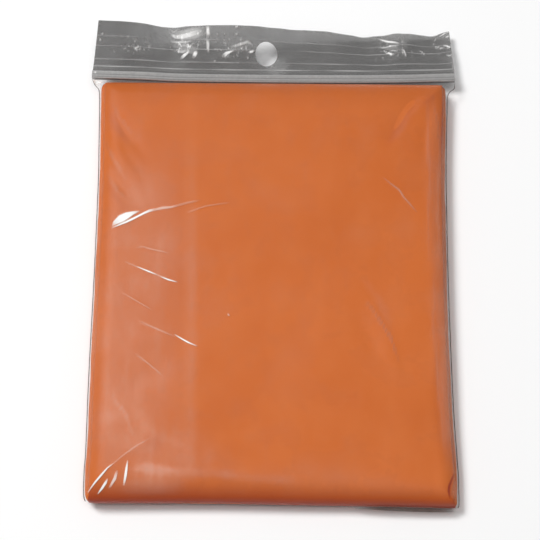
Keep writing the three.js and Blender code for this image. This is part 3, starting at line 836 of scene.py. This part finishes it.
# The same on the back film: painted sheen along its sides and front, partly cloudy film
backHazeAndSheen = [
    (0.05, [(-64, 10, 4), (-62, 90, 6), (-64, 170, 4)]),
    (0.05, [(66, 10, 3), (64, 90, 5), (66, 170, 3)]),
    (0.06, [(-40, 14, 1.4), (0, 12, 1.6), (44, 12, 1.3)]),
]

frontCreases = [
    # height, lean, whitening (painted glints along the creases, with some stress whitening), then (x, y,
    # half width) along the crease
    (0.12, 0.2, 1, [(-68.2, 118.8, 0.31), (-67, 120.3, 1.04), (-64.5, 122.1, 1.72), (-62, 123.6, 1.46),
        (-59.4, 124.8, 0.73), (-56.9, 125.6, 0.26)]),
    (0.08, 0, 1, [(-68.4, 117.9, 0.2), (-65.4, 119.2, 0.36), (-62.4, 120.5, 0.42), (-59.6, 122, 0.47),
        (-57.3, 123.3, 0.42), (-54.8, 124.7, 0.47), (-52.7, 125.7, 0.57), (-50.2, 126.4, 0.6)]),
    (0.1, 0, 0.34, [(-53.7, 125.3, 0.4), (-47.1, 127.1, 0.63), (-44, 127.4, 0.52), (-39.9, 128.3, 0.36)]),
    (0.2, 0, 0.14, [(-44, 127.4, 0.6), (-35.8, 129.7, 0.5), (-31.2, 130.8, 0.4)]),
    (0.15, 0, 0.13, [(-36.2, 125.2, 0.4), (-28.5, 128.1, 0.35), (-18.7, 129.8, 0.35)]),
    (0.2, 0, 0.13, [(-57.4, 109.1, 0.4), (-54.9, 109.4, 0.4), (-51.2, 108.3, 0.35), (-44, 106.7, 0.3)]),
    (0.14, 0.25, 0.2, [(-61.8, 102.5, 0.4), (-58.2, 100.8, 0.3), (-48.9, 96.9, 0.3), (-40.9, 94, 0.25)]),
    (0.05, 0, 0.9, [(-57.6, 100.6, 0.16), (-54.6, 99.3, 0.24), (-52, 98.2, 0.34), (-48.6, 96.8, 0.2)]),
    (0.05, 0, 0.85, [(-47.5, 96.1, 0.16), (-43.7, 94.6, 0.31), (-39.9, 93.6, 0.16)]),
    (0.2, 0, 0.13, [(-62.9, 88.7, 0.35), (-56.7, 85, 0.3), (-50, 81, 0.25)]),
    (0.2, 0.2, 0.14, [(-55.4, 76.1, 0.5), (-47.3, 72.5, 0.45), (-40.6, 69.6, 0.4)]),
    (0.1, 0.2, 1, [(-40.6, 70.5, 0.18), (-37.6, 68.6, 0.28), (-35, 67.1, 0.32), (-33.2, 66.3, 0.2),
        (-31, 65.4, 0.14)]),
    (0.15, 0, 0.13, [(-56.5, 61.8, 0.4), (-50.4, 57.1, 0.35), (-45.2, 52.7, 0.3)]),
    (0.1, 0, 0.35, [(-18.7, 79.7, 0.3), (-17.9, 78.7, 0.3)]),
    (0.25, 0.2, 0.85, [(-74.6, 3.8, 0.2), (-71.6, 7.5, 0.38), (-69.1, 10.4, 0.42), (-66.6, 13.4, 0.28),
        (-64, 15.5, 0.18)]),
    (0.06, 0, 0, [(-66, 13.5, 0.5), (-61, 18.3, 0.7), (-54.8, 23, 0.7), (-49.5, 26, 0.4)]),
    (0, 0, 0.13, [(-66, 13.5, 0.26), (-61, 18.3, 0.34), (-54.8, 23, 0.34), (-49.5, 26, 0.2)]),
    (0.15, 0.2, 0.95, [(-70.4, 3.2, 0.22), (-68.6, 5.4, 0.44), (-67.2, 7.5, 0.5), (-66.5, 9, 0.26)]),
    (0.15, 0, 0.55, [(-65.6, 5.6, 0.4), (-63.5, 9.1, 0.6), (-62.8, 12, 0.5)]),
    (0.15, 0, 0.95, [(-59.8, 6.8, 0.36), (-59.2, 10.2, 0.5), (-58.9, 12.9, 0.46), (-58.5, 16.6, 0.22)]),
    (0.12, 0, 0.17, [(47.5, 141.8, 0.3), (50.3, 139.3, 0.36), (53.9, 136.4, 0.42), (56.1, 132.7, 0.36),
        (58.5, 129.8, 0.4), (61.1, 126.4, 0.3)]),
    (0.14, 0, 0.06, [(68.9, 181.4, 0.5), (71.2, 169.3, 0.5), (71.9, 158, 0.5), (71, 139.7, 0.5),
        (70.1, 123.9, 0.5), (71.1, 104.7, 0.5)]),
    (0.1, 0, 0.05, [(66.9, 181.4, 0.6), (66.9, 157.9, 0.6), (67, 139.7, 0.6), (66.2, 123.8, 0.6),
        (66.3, 104.7, 0.6)]),
    (0.12, 0, 0.05, [(68.4, 98, 0.5), (67.4, 80, 0.5), (68, 60, 0.5), (69.5, 38, 0.5), (70.5, 20, 0.4)]),
    (0.1, 0, 1, [(-79, 188.6, 0.4), (-77.4, 187.9, 0.6), (-75.4, 187.4, 0.35)]),
    (-0.25, 0, 0, [(74.8, 13.2, 0.38), (72.8, 9.4, 0.5), (71.9, 6.4, 0.5), (72.3, 2.7, 0.42)]),
    (0.2, 0, 0.1, [(74.6, 9.8, 0.4), (73.6, 6.4, 0.55), (73.7, 2.7, 0.45)]),
    (0.2, 0, 0.1, [(39.5, 86, 0.5), (44.5, 78, 0.5), (49.3, 70, 0.5), (52.5, 60, 0.4)]),
    (0.25, 0.1, 0.08, [(-70, 176, 0.5), (-66.5, 169, 0.5), (-61, 162, 0.5)]),
    (0.25, 0.1, 0.1, [(-72.5, 158, 0.5), (-68, 148, 0.5), (-63, 140.5, 0.5)]),
    (0.2, 0.1, 0.08, [(-71.5, 143, 0.5), (-66.6, 135, 0.5), (-62, 131, 0.4)]),
    (0.08, 0, 0.08, [(-66, 44, 0.5), (-60, 36, 0.6), (-56.5, 27, 0.5)]),
]

# Short pleats across the rounded front edge: x, how far they reach in, height
frontPleats = [
    (-54.5, 14, 0.2), (-51.8, 12.5, 0.14), (-48.2, 14.5, 0.22), (-44.6, 13, 0.15), (-41.3, 15, 0.25),
    (-36.9, 12.5, 0.15), (-32.5, 14, 0.2), (-27.4, 12.5, 0.12), (-21.8, 13, 0.18), (-15.2, 12, 0.12),
    (-9.5, 13, 0.15), (-2.1, 12, 0.1), (8.3, 11, 0.12), (17.6, 12, 0.14), (27.0, 10.5, 0.1),
    (38.4, 10, 0.12), (49.1, 9, 0.1), (58.3, 9.5, 0.15), (65.5, 9, 0.2),
]

backCreases = [
    (0.3, 0.1, 0.25, [(-66, 22, 0.5), (-58, 33, 0.9), (-47, 41, 0.8), (-37, 44, 0.5)]),
    (0.25, 0, 0.15, [(-69, 60, 0.5), (-60, 66, 0.7), (-49, 69, 0.6)]),
    (0.3, 0, 0.3, [(-62, 96, 0.4), (-54, 104, 0.8), (-50, 115, 0.7), (-49, 126, 0.4)]),
    (0.25, 0.1, 0.12, [(-70, 150, 0.5), (-61, 141, 0.8), (-52, 137, 0.6)]),
    (0.3, 0, 0.2, [(-40, 172, 0.5), (-34, 160, 0.8), (-31, 146, 0.6)]),
    (0.2, 0, 0.1, [(-25, 60, 0.6), (-13, 53, 0.8), (1, 51, 0.6)]),
    (0.25, 0, 0.15, [(-12, 118, 0.5), (0, 109, 0.8), (14, 105, 0.6)]),
    (0.2, 0, 0.1, [(8, 160, 0.5), (17, 151, 0.7), (22, 139, 0.5)]),
    (0.3, 0.2, 0.3, [(66, 20, 0.4), (57, 28, 0.8), (50, 40, 0.8), (47, 52, 0.5)]),
    (0.25, 0, 0.2, [(70, 74, 0.4), (60, 79, 0.7), (48, 81, 0.5)]),
    (0.3, 0, 0.25, [(64, 112, 0.4), (55, 119, 0.8), (46, 130, 0.6)]),
    (0.25, 0, 0.15, [(67, 166, 0.5), (56, 158, 0.8), (49, 147, 0.5)]),
    (0.2, 0, 0.1, [(20, 22, 0.5), (27, 31, 0.7), (30, 44, 0.5)]),
    (0.2, 0, 0.1, [(-30, 14, 0.5), (-22, 22, 0.7), (-12, 26, 0.5)]),
]


def pouchFilm(columns, rows, upper):
    # The film lies over the pack, then runs down behind it to the strip
    lift = pouch["weldGap"] + pouch["thickness"]
    body = packSurface(columns, rows, 0.0, upper, lift=lift, fin=pouch["fin"], frontFin=pouch["frontFin"])
    flatX, flatY, _ = flatPart(columns, {"share": np.array([1.0])})
    x0, y0 = flatX[0], flatY[0]
    edge = np.maximum(columns["edge"], 0) * math.pi / 2
    corner = pack["cornerBack"]
    sign = 1 if upper else -1
    seam0 = heightField(pack["seamHeight"], x0, y0)
    surface = heightField(pack["topHeight"], x0, y0) if upper else np.zeros_like(x0)
    outside = pouch["fin"] * np.maximum(-columns["edge"], 0) / columns["fin"]
    steepest, fallEnd = pouch["fallAngles"]
    jointGap, jointLift = pouch["joint"]
    fall = []
    for degrees in np.concatenate([np.linspace(steepest, fallEnd, pouch["fallSteps"]), pouch["runAngles"]]):
        around = max(degrees, fallEnd)
        angle = math.radians(around)
        y = y0 + pack["backRadius"] * math.cos(angle)
        leftX, rightX = tableCurve(pack["outline"], y, 1), tableCurve(pack["outline"], y, 2)
        reach = np.abs(np.where(columns["end"] < 0, leftX, rightX) - x0) + outside
        x = x0 + columns["end"] * (reach * np.cos(edge))
        toClosure = max(0.0, 1 - around / pouch["widenFrom"])
        seam = seam0 + (tableCurve(closure["line"], x, 2) - seam0) * toClosure
        start = seam + sign * lift
        outTo = np.minimum((math.cos(angle) ** corner + np.cos(edge) ** corner) ** (1 / corner), 1)
        z = start + (surface - start) * np.sqrt(1 - outTo ** 2)
        row = np.stack([x, y, z], -1)
        if degrees < fallEnd:
            run = (fallEnd - degrees) / fallEnd
            share = smoothStep(0, 1, run) * pouch["runEase"] + run * (1 - pouch["runEase"])
            jointX = x0 + columns["end"] * (closure["halfWidth"] - np.abs(x0)) * np.cos(edge)
            joint = np.stack([jointX, tableCurve(closure["line"], jointX, 1) + closure["start"] - jointGap,
                              tableCurve(closure["line"], jointX, 2) + sign * (lift + jointLift)], -1)
            row = row + (joint - row) * share
        fall.append(row)
    return np.concatenate([body[:rows["backFrom"]], np.array(fall)])


def pouchShape(piece, creases, hazeAndSheenZones, upper):
    # Folds, creases with painted glints, and zones of painted sheen and cloudy film of one film. level is 0
    # at its edge and 1 on its flat part
    mesh = piece.data
    places = toMillimetres(mesh)
    x, y = places[:, 0], places[:, 1]
    level, fromSide, fromFront = (readValues(mesh, key) for key in ("level", "fromSide", "fromFront"))
    raised, white = creaseField(x, y, creases)
    hazeAndSheen = softField(x, y, hazeAndSheenZones)
    uneven = pouch["uneven"]
    onTop = smoothStep(0.15, 0.75, level)
    if upper:
        lift = raised * smoothStep(0.05, 0.5, level)
        follow, _ = bodyShape(x, y)
        lift = lift + follow * smoothStep(*foldsBegin, level)
        for place, reach, height in frontPleats:
            bend = 0.6 * np.sin(y * 0.5 + place)
            across = np.exp(-((x - place - bend) / pouch["pleatHalfWidth"]) ** 2)
            ending = 1 - smoothStep(reach - 4, reach + 3, y)
            lift = lift + height * across * smoothStep(1.5, 6, y) * ending
        places[:, 2] += lift + uneven["height"] * waves(x, y, uneven["size"], uneven["seed"]) * onTop
        white = white * smoothStep(0.0, 0.1, level)
    else:
        places[:, 2] += np.maximum(raised, 0) * 0.8 * onTop
        white = white * onTop
    places[:, 2] = np.maximum(places[:, 2], 0.0)
    mesh.vertices.foreach_set("co", toMetres(places).ravel())
    storeValues(mesh, "whiteningAndGlint", white)
    clear, clearFull, clearNone = pouch["frontClearing"]
    clearing = clear * (1 - smoothStep(clearFull, clearNone, y))
    looseFrom, looseFull, looseLast, looseEnd = pouch["seamShadowSpan"]
    loose = smoothStep(looseFrom, looseFull, x) * (1 - smoothStep(looseLast, looseEnd, x))
    sideSeamShade, frontSeamShadow = 1 - smoothStep(0.0, 0.08, fromSide), 1 - smoothStep(0.0, 0.06, fromFront)
    storeValues(mesh, "seam", np.maximum(sideSeamShade, frontSeamShadow * loose))
    storeValues(mesh, "hazeAndSheen", np.maximum(hazeAndSheen, 0) * smoothStep(0.0, 0.25, level) - clearing)
    mesh.update()


def filmFinish(name):
    film = Finish(name)
    # white marks: painted glints on the creases, with some stress whitening
    white = film.attribute("whiteningAndGlint")
    facing = film.node("ShaderNodeLayerWeight", sockets={"Blend": 0.12}, output="Facing")
    cloud = film.noise(*pouch["cloudNoise"])
    scuffs = film.noise(*pouch["scuffNoise"], stretch=(1.0, 0.18, 1.0))
    # painted sheen and cloudy film, patchy
    hazeAndSheenAmount = film.attribute("hazeAndSheen") * (0.75 + (cloud - 0.5) * 1.4 + (scuffs - 0.5) * 0.8)
    cover = pouch["gloss"] + (cloud - 0.45).limited() * 0.05 + (scuffs - 0.6).limited() * 0.08
    # painted shade on the weld edges
    seam = film.attribute("seam")
    cover = cover + facing ** 2.0 * pouch["edgeGloss"] + hazeAndSheenAmount + white * 0.96 + seam * pouch["seamShadeCover"]
    tint = film.mix(((hazeAndSheenAmount + white) * 12.0).limited(), pouch["clear"], pouch["hazeAndSheen"])
    tint = film.mix(seam, tint, pouch["seam"])
    ripple = film.noise(*pouch["rippleNoise"], stretch=(1.0, 0.35, 1.0))
    return film.surface(principled(film, {
        "Base Color": film.mix(((white - 0.3) * 2.4).limited(), tint, pouch["white"]),
        "Metallic": (0.9 - hazeAndSheenAmount.limited() * 8.0 - white * 3.0 - seam).limited(),
        "Roughness": pouch["roughness"] + white * 0.25 + (cloud - 0.5) * 0.1,
        "Alpha": cover.limited(0.0, 0.98),
        "Normal": film.bump(ripple, *pouch["bump"])}))


def pouchPiece(name, node, upper, creases, hazeAndSheenZones, across, along, finest):
    columns = divisions(pouch["sideSteps"], across, finSteps=pouch["finSteps"])
    rows = divisions(pouch["sideSteps"], along, finSteps=pouch["finSteps"])
    rows["backFrom"] = pouch["finSteps"] + pouch["sideSteps"] + len(along)
    grid = pouchFilm(columns, rows, upper)
    behind = len(grid) - rows["backFrom"]
    rowEdge = np.concatenate([rows["edge"][:rows["backFrom"]], np.linspace(0.9, 0.0, behind)])
    level = np.maximum(np.minimum(columns["edge"][None, :], rowEdge[:, None]), 0)
    fromSide = np.maximum(columns["edge"], 0)[None, :] + 0 * level
    fromFront = np.where(np.arange(len(grid)) < rows["backFrom"], np.maximum(rowEdge, 0), 1)
    film = makeSheet(name, grid, 0, {
        "level": level, "fromSide": fromSide, "fromFront": fromFront[:, None] + 0 * level}, inward=upper)
    marks = [points for _, _, whiteningAndGlint, points in creases if whiteningAndGlint >= pouch["finestMarks"]]
    refineMarks(film, marks, finest)
    pouchShape(film, creases, hazeAndSheenZones, upper)
    thicken(film, pouch["thickness"])
    finishPiece(film, clearFilm, node)
    return film


clearFilm = filmFinish("clear pouch film")
frontFilm = pouchPiece("pouch_film_front", "pouch_front_film", True, frontCreases, frontHazeAndSheen,
                       crowdedShares(*pouch["frontAcross"]), crowdedShares(*pouch["frontAlong"]),
                       pouch["finestFront"])
backAcross, backAlong = (np.linspace(0, 1, faces + 1) for faces in pouch["backGrid"])
backFilm = pouchPiece("pouch_film_back", "pouch_back_film", False, backCreases, backHazeAndSheen,
                      backAcross, backAlong, pouch["finestBack"])

# Lip: two films above the press-to-close strip, with grip lines and a hang hole
print("lip")
lip = {
    "reach": 23.5,
    "narrowing": (0.036, 0.022),  # at the left and at the right
    "bend": 1.2,
    # Faces across and where they crowd, then points along the strip's band and along the free part
    "across": (330, [(0.0, 0.03, 2.0), (0.2, 0.36, 2.4), (0.36, 0.48, 1.9), (0.78, 0.87, 2.2),
                     (0.94, 1.0, 2.0)]),
    "alongBand": 34,
    "alongFree": 68,
    "finerTo": 2.9,
    "profileEnd": 2.7,
    "ripple": {"height": 0.25, "size": 16, "seed": 31},
    "thickness": 0.14,
    "apart": 0.12,  # each film's inner side from the middle plane
    "flat": (0.160, 0.026),
    # x and the height of the free edge, as it waves from left to right
    "edge": [(-79.8, 20.2), (-72, 19.4), (-65, 17.0), (-58, 13.8), (-51, 10.8), (-46, 10.4), (-39, 12.4),
             (-30, 14.8), (-20, 15.8), (-10, 14.4), (0, 11.5), (10, 9.0), (20, 7.8), (28, 6.2), (35, 3.9),
             (42, 2.5), (49, 3.2), (56, 5.1), (61, 4.9), (67, 2.8), (72, 2.1), (76, 3.4), (79.8, 5.0)],
    # reach and height above the middle plane, of the outer side over the strip
    "band": [(-2.3, 0.62), (-2.12, 1.02), (-1.85, 1.3), (-1.2, 1.42), (-0.5, 1.38), (-0.25, 1.22),
             (0.0, 1.14), (0.25, 1.22), (0.5, 1.36), (0.95, 1.4), (1.4, 1.28), (1.7, 1.05), (2.1, 0.6),
             (2.7, 0.26)],
    # reach, height and half width of the grip lines, and how pale each is
    "lines": [(4.0, 0.26, 0.24, 0.62), (7.3, 0.2, 0.2, 0.48), (13.0, 0.16, 0.17, 0.4),
              (17.2, 0.18, 0.18, 0.44), (3.05, 0.1, 0.16, 0.25), (10.2, 0.05, 0.12, 0.12)],
    # reach, half width and how pale
    "paleBands": [(-1.05, 0.62, 0.3), (0.62, 0.95, 0.36), (-2.1, 0.4, 0.42), (-0.25, 0.2, 0.16)],
    "hole": {"x": -3.4, "reach": 11.4, "halfWidth": 4.95, "halfLength": 5.55},
    # The lip's grey is painted shade: the clear films take on the grey of the shade and dark reflections
    # behind them
    "dark": (0.17, 0.167, 0.165, 1),
    "greyShade": (0.25, 0.245, 0.24, 1),
    "pale": (0.97, 0.96, 0.95, 1),
    "cover": 0.37,
    "roughness": 0.2,
    "gloss": 0.7,
    # Noises: scale, detail and roughness
    "cloudNoise": (46.0, 3.0, 0.5),
    "crackleNoise": (900.0, 3.0, 0.6),
    "speckNoise": (520.0, 4.0, 0.65),
    "rippleNoise": (300.0, 2.0, 0.5),
    "bump": (0.3, 0.3),  # strength and distance
    "leftShade": (0.11, -74, -46),  # painted shade: more grey cover at the left, and from which x to which it fades
    # x, reach and half sizes of the zones with small white flecks, partly painted glints
    "flecked": [(-40, 16, 9, 6), (-17, 14, 9, 5), (53, 15, 9, 5), (76, 17, 5, 6), (-64, 13, 8, 4)],
}

lipCrinkles = [
    # height, whitening (painted glints on the crinkles, with some stress whitening), then (x, reach, half
    # width) along the crinkle
    (0.2, 0.5, [(-46.6, 21.2, 1), (-41.5, 19.6, 2.4), (-36, 20.2, 2.7), (-31.6, 21.2, 2)]),
    (0.2, 0.3, [(-46, 15.6, 1), (-40.5, 14.4, 2.2), (-36.2, 12.4, 1.8), (-34.4, 9.6, 1)]),
    (0.1, 0.22, [(-19.5, 13, 1.2), (-14.5, 14.6, 2.2), (-10.2, 14.4, 1.8)]),
    (0.1, 0.2, [(48, 17.2, 0.8), (53, 16.4, 1.8), (57, 14.6, 1.6)]),
    (0.5, 0.8, [(-47.6, 20.4, 0.45), (-44.8, 19.1, 1), (-41.5, 19, 1.25), (-38.2, 19.6, 1.35),
        (-34.9, 20.7, 1.2), (-32.5, 21.9, 0.8)]),
    (0.3, 0.65, [(-47.4, 16.9, 0.31), (-43.5, 16.4, 0.5), (-39.7, 16.3, 0.45), (-36.9, 16.7, 0.3)]),
    (0.5, 0.9, [(-30.4, 23.4, 0.73), (-30.1, 21.3, 0.73), (-29.9, 18.7, 0.8)]),
    (0.3, 0.75, [(-29.9, 17.8, 0.5), (-29.9, 16.5, 0.63), (-29.7, 13.9, 0.6), (-29.4, 11.8, 0.4)]),
    (0.3, 0.4, [(-47.7, 22.4, 0.42), (-46, 21.3, 0.52), (-43.9, 22.6, 0.42)]),
    (0.3, 0.55, [(-43.8, 12.4, 0.6), (-41.1, 11.9, 0.7), (-38.4, 12.9, 0.6)]),
    (0.35, 0.95, [(-41.4, 9.1, 0.7), (-39.9, 10.5, 0.7), (-38.3, 11.8, 0.42)]),
    (0.35, 0.95, [(-35.8, 9.6, 0.8), (-35.2, 11.3, 0.9), (-34.8, 12.3, 0.5)]),
    (0.25, 0.5, [(-42.3, 15.2, 0.5), (-37.9, 14.3, 0.5)]),
    (0.35, 0.95, [(-22.6, 10.2, 0.8), (-21.3, 11.3, 0.8), (-19.4, 12.1, 0.42), (-17.8, 12.7, 0.3)]),
    (0.2, 0.4, [(-24.8, 13.4, 0.31), (-23.2, 12.4, 0.31)]),
    (0.3, 0.6, [(-19.5, 14.2, 0.5), (-16.8, 14.8, 0.6), (-14.1, 15.7, 0.6), (-11.9, 16.5, 0.6),
        (-10.3, 15.5, 0.5), (-9.2, 14.5, 0.5)]),
    (0.3, 0.95, [(-11.3, 12, 0.42), (-9.7, 12.3, 0.52), (-8.9, 12.9, 0.31)]),
    (0.3, 0.7, [(-17.2, 23.4, 0.8), (-16.9, 22.4, 0.6)]),
    (0.2, 0.5, [(-17.7, 19.7, 0.7), (-16.3, 19.8, 0.42)]),
    (0.15, 0.35, [(-26.1, 19.7, 0.5), (-25.4, 19.7, 0.5)]),
    (0.15, 0.35, [(-22.9, 19.7, 0.42), (-22.2, 19.7, 0.42)]),
    (0.15, 0.35, [(-26.3, 16.5, 0.42), (-26.3, 15.8, 0.42)]),
    (0.2, 0.5, [(-67.4, 12.2, 0.36), (-66.3, 11.9, 0.36)]),
    (0.15, 0.35, [(-65.4, 11.1, 0.31), (-64.7, 11, 0.31)]),
    (0.25, 0.9, [(-62.3, 11.7, 0.45), (-62, 12.2, 0.42), (-61.2, 13.3, 0.3)]),
    (0.2, 0.6, [(-77.8, 18.1, 0.42), (-77.2, 17.9, 0.42)]),
    (0.2, 0.7, [(-78.4, 16, 0.31), (-77.8, 15, 0.31)]),
    (0.2, 0.5, [(-11.5, 8.8, 0.31), (-11.8, 10.1, 0.31)]),
    (0.15, 0.4, [(-26.8, 8.1, 0.31), (-25.8, 7.8, 0.31)]),
    (0.15, 0.5, [(-1.3, 6, 0.31), (-0.6, 5.4, 0.31)]),
    (0.3, 0.12, [(-58, 22.3, 1.3), (-57.1, 18.1, 1.56), (-56.3, 13.3, 1.04)]),
    (0.2, 0.12, [(-13.1, 22, 1.5), (-7.7, 20.7, 2), (-1.1, 20.6, 1.5)]),
    (0.4, 0.95, [(47.2, 21.6, 0.22), (49.3, 20.8, 0.46), (51.8, 19.6, 0.52), (54.2, 18.8, 0.56),
        (56, 18.1, 0.48), (57.1, 17.9, 0.24)]),
    (0.3, 0.65, [(46.8, 16.7, 0.16), (49.3, 16.6, 0.28), (52.2, 16.8, 0.34), (54.7, 16.8, 0.38),
        (56.6, 16.8, 0.3)]),
    (0.3, 0.9, [(50.2, 13.2, 0.3), (51.6, 13.4, 0.48), (52.5, 12.6, 0.48), (53.7, 12.5, 0.4)]),
    (0.25, 0.6, [(52, 14.5, 0.26), (53.9, 14.3, 0.3), (55.7, 13.7, 0.26)]),
    (0.3, 0.65, [(57, 14.8, 0.24), (58.4, 14, 0.36), (58.8, 12.5, 0.36), (59.1, 10.7, 0.24)]),
    (0.25, 0.55, [(65.3, 14.8, 0.2), (66.6, 14.1, 0.26), (67.4, 13, 0.36), (67.7, 11.8, 0.2)]),
    (0.3, 0.75, [(72.7, 23.2, 0.2), (74.6, 23.4, 0.26), (76.8, 23.7, 0.2), (78.9, 23.4, 0.16)]),
    (0.35, 0.9, [(75.3, 22, 0.26), (77.6, 22.8, 0.28), (79.8, 23.1, 0.2)]),
    (0.35, 0.9, [(76.3, 17, 0.2), (78.1, 16.2, 0.42), (79.2, 15.2, 0.3), (79.7, 16.6, 0.2)]),
    (0.3, 0.8, [(77.7, 20.9, 0.3), (78.9, 20.9, 0.42), (79.7, 21.4, 0.24)]),
    (0.2, 0.6, [(77.5, 11.1, 0.18), (79.1, 11, 0.2), (79.7, 11.9, 0.18)]),
    (0.2, 0.35, [(73.8, 12.8, 0.21), (74.1, 11.9, 0.21)]),
    (0.3, 0.3, [(56.3, 21.5, 0.42), (57, 20.7, 0.36)]),
    (0.3, 0.16, [(57, 22.6, 0.9), (58.7, 19.2, 1.03), (59.6, 15.1, 0.9)]),
    (0.1, 0.5, [(79.7, 15.1, 0.22), (79.7, 12.2, 0.2), (79.6, 7.1, 0.2), (79.5, 2.1, 0.2)]),
    (0.1, 0.8, [(-78.3, 0.9, 0.5), (-78.2, -0.2, 0.42)]),
]


def lipGrid(front):
    x = (crowdedShares(*lip["across"]) * 2 - 1) * closure["halfWidth"]
    band = np.linspace(closure["start"], lip["finerTo"], lip["alongBand"])
    free = np.linspace(lip["finerTo"], lip["reach"], lip["alongFree"])[1:]
    reach = np.concatenate([band, free])[:, None] + np.zeros((1, len(x)))
    x = x[None, :] + np.zeros_like(reach)
    # Points inside the hang hole next to its edge move out to it, and the faces within are left out
    hole = lip["hole"]
    offX, offY = (x - hole["x"]) / hole["halfWidth"], (reach - hole["reach"]) / hole["halfLength"]
    radius = np.hypot(offX, offY)
    inside = radius < 1
    allIn = inside[:-1, :-1] & inside[:-1, 1:] & inside[1:, :-1] & inside[1:, 1:]
    scale = np.where(inside & (radius > 0.05), 1 / np.maximum(radius, 0.05), 1)
    x = hole["x"] + (x - hole["x"]) * scale
    reach = hole["reach"] + (reach - hole["reach"]) * scale

    sign = 1 if front else -1
    outer = lip["apart"] + lip["thickness"]
    profile = tableCurve(lip["band"], np.minimum(reach, lip["profileEnd"]), 1)
    offset = np.where(reach < lip["profileEnd"], profile, outer)
    white = np.zeros_like(reach)
    for place, height, halfWidth, pale in lip["lines"]:
        line = np.exp(-((reach - place) / halfWidth) ** 2)
        offset = offset + height * line
        white = np.maximum(white, pale * line * (0.75 + 0.25 * waves(x, reach * 0, 22, int(place * 7))))
    for place, halfWidth, pale in lip["paleBands"]:
        white = np.maximum(white, pale * (1 - smoothStep(0.6, 1.15, np.abs(reach - place) / halfWidth)))
    crinkles = [(rise, 0, whiteningAndGlint, points) for rise, whiteningAndGlint, points in lipCrinkles]
    raised, crackle = creaseField(x, reach, crinkles)
    ripple = lip["ripple"]
    rippled = ripple["height"] * waves(x, reach, ripple["size"], ripple["seed"]) * smoothStep(3, 9, reach)
    offset = sign * offset + raised * 0.7 + rippled

    footY, footZ = tableCurve(closure["line"], x, 1), tableCurve(closure["line"], x, 2)
    lift = tableCurve(lip["edge"], x, 1) - footZ
    lean = np.sqrt(lip["reach"] ** 2 - lift ** 2) / lip["reach"]
    run = lip["reach"] - closure["bandEnd"]
    share = np.maximum(0, (reach - closure["bandEnd"]) / run)
    slope = lift * lip["bend"] * share ** (lip["bend"] - 1) / run
    size = np.hypot(slope, lean)
    y = footY + reach * np.where(reach > 0, lean, 1) - slope / size * offset
    z = footZ + lift * share ** lip["bend"] + lean / size * offset
    narrowing = np.where(x < 0, lip["narrowing"][0], lip["narrowing"][1])
    narrow = 1 - narrowing * np.maximum(0, reach) / lip["reach"]
    points = np.stack([x * narrow, y, z], -1)
    flecks = np.zeros_like(x)
    for fleckX, fleckReach, halfX, halfReach in lip["flecked"]:
        away = ((x - fleckX) / halfX) ** 2 + ((reach - fleckReach) / halfReach) ** 2
        flecks = np.maximum(flecks, np.exp(-away))
    _, shadeFull, shadeNone = lip["leftShade"]
    marks = {"whiteningAndGlint": np.maximum(white, crackle), "flecks": flecks,
             "greyShade": 1 - smoothStep(shadeFull, shadeNone, x)}
    return points, marks, ~allIn


def lipFinish(name):
    film = Finish(name)
    # pale grip lines and strip bands, and white crinkle marks that are painted glints with some stress
    # whitening
    white = film.attribute("whiteningAndGlint")
    cloud = film.noise(*lip["cloudNoise"], stretch=(1.0, 0.5, 1.0))
    crackle = film.noise(*lip["crackleNoise"])
    specks = film.noise(*lip["speckNoise"], stretch=(1.0, 0.7, 1.0))
    fleck = ((specks - 0.55) * 9.0).limited() * film.attribute("flecks") * 0.6
    mark = (white * (0.72 + crackle * 0.5) + fleck).limited()
    # painted shade: the films' patchy grey
    dark = film.mix((cloud * 1.5 - 0.3).limited(), lip["dark"], lip["greyShade"])
    facing = film.node("ShaderNodeLayerWeight", sockets={"Blend": 0.2}, output="Facing")
    # more painted grey at the left
    cover = lip["cover"] + film.attribute("greyShade") * lip["leftShade"][0] + mark * 0.75 + facing * 0.12
    return film.surface(principled(film, {
        "Base Color": film.mix(mark, dark, lip["pale"]),
        "Roughness": lip["roughness"] + mark * 0.2 + (cloud - 0.5) * 0.1,
        "Specular IOR Level": lip["gloss"],
        "Alpha": (cover + (cloud - 0.5) * 0.14).limited(0.0, 0.99),
        "Normal": film.bump(crackle * mark * 1.5 + film.noise(*lip["rippleNoise"]) * 0.4, *lip["bump"])}))


def lipPiece(name, node, front):
    points, marks, keep = lipGrid(front)
    piece = makeSheet(name, points, lip["thickness"], marks, keep=keep, inward=front)
    finishPiece(piece, shadedLipFilm, node)
    return piece


shadedLipFilm = lipFinish("lip film with painted shade")
lipFront = lipPiece("lip_film_front", "lip_front_film", True)
lipBack = lipPiece("lip_film_back", "lip_back_film", False)

# Press-to-close strips
print("strips")
strips = {
    "colour": (0.42, 0.41, 0.40, 1),
    "pale": (0.6, 0.59, 0.57, 1),
    "roughness": 0.3,
    "cover": 0.9,
    "streakNoise": (140.0, 3.0, 0.55),  # scale, detail and roughness
    "bump": (0.2, 0.1),  # strength and distance
}


def stripFinish():
    plastic = Finish("strip plastic")
    streak = plastic.noise(*strips["streakNoise"], stretch=(0.2, 3.0, 3.0))
    return plastic.surface(principled(plastic, {
        "Base Color": plastic.mix(streak, strips["colour"], strips["pale"]),
        "Roughness": strips["roughness"] + (streak - 0.5) * 0.15,
        "Alpha": strips["cover"],
        "Normal": plastic.bump(streak, *strips["bump"])}))


stripPlastic = stripFinish()
for name in ("zip_groove", "zip_rib"):
    give(frame["nodes"][name], stripPlastic)

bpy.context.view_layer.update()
for item in bpy.context.scene.objects:
    if item.type == "MESH":
        item.data.calc_loop_triangles()
        print(item.name, len(item.data.loop_triangles), "triangles")
print("done")
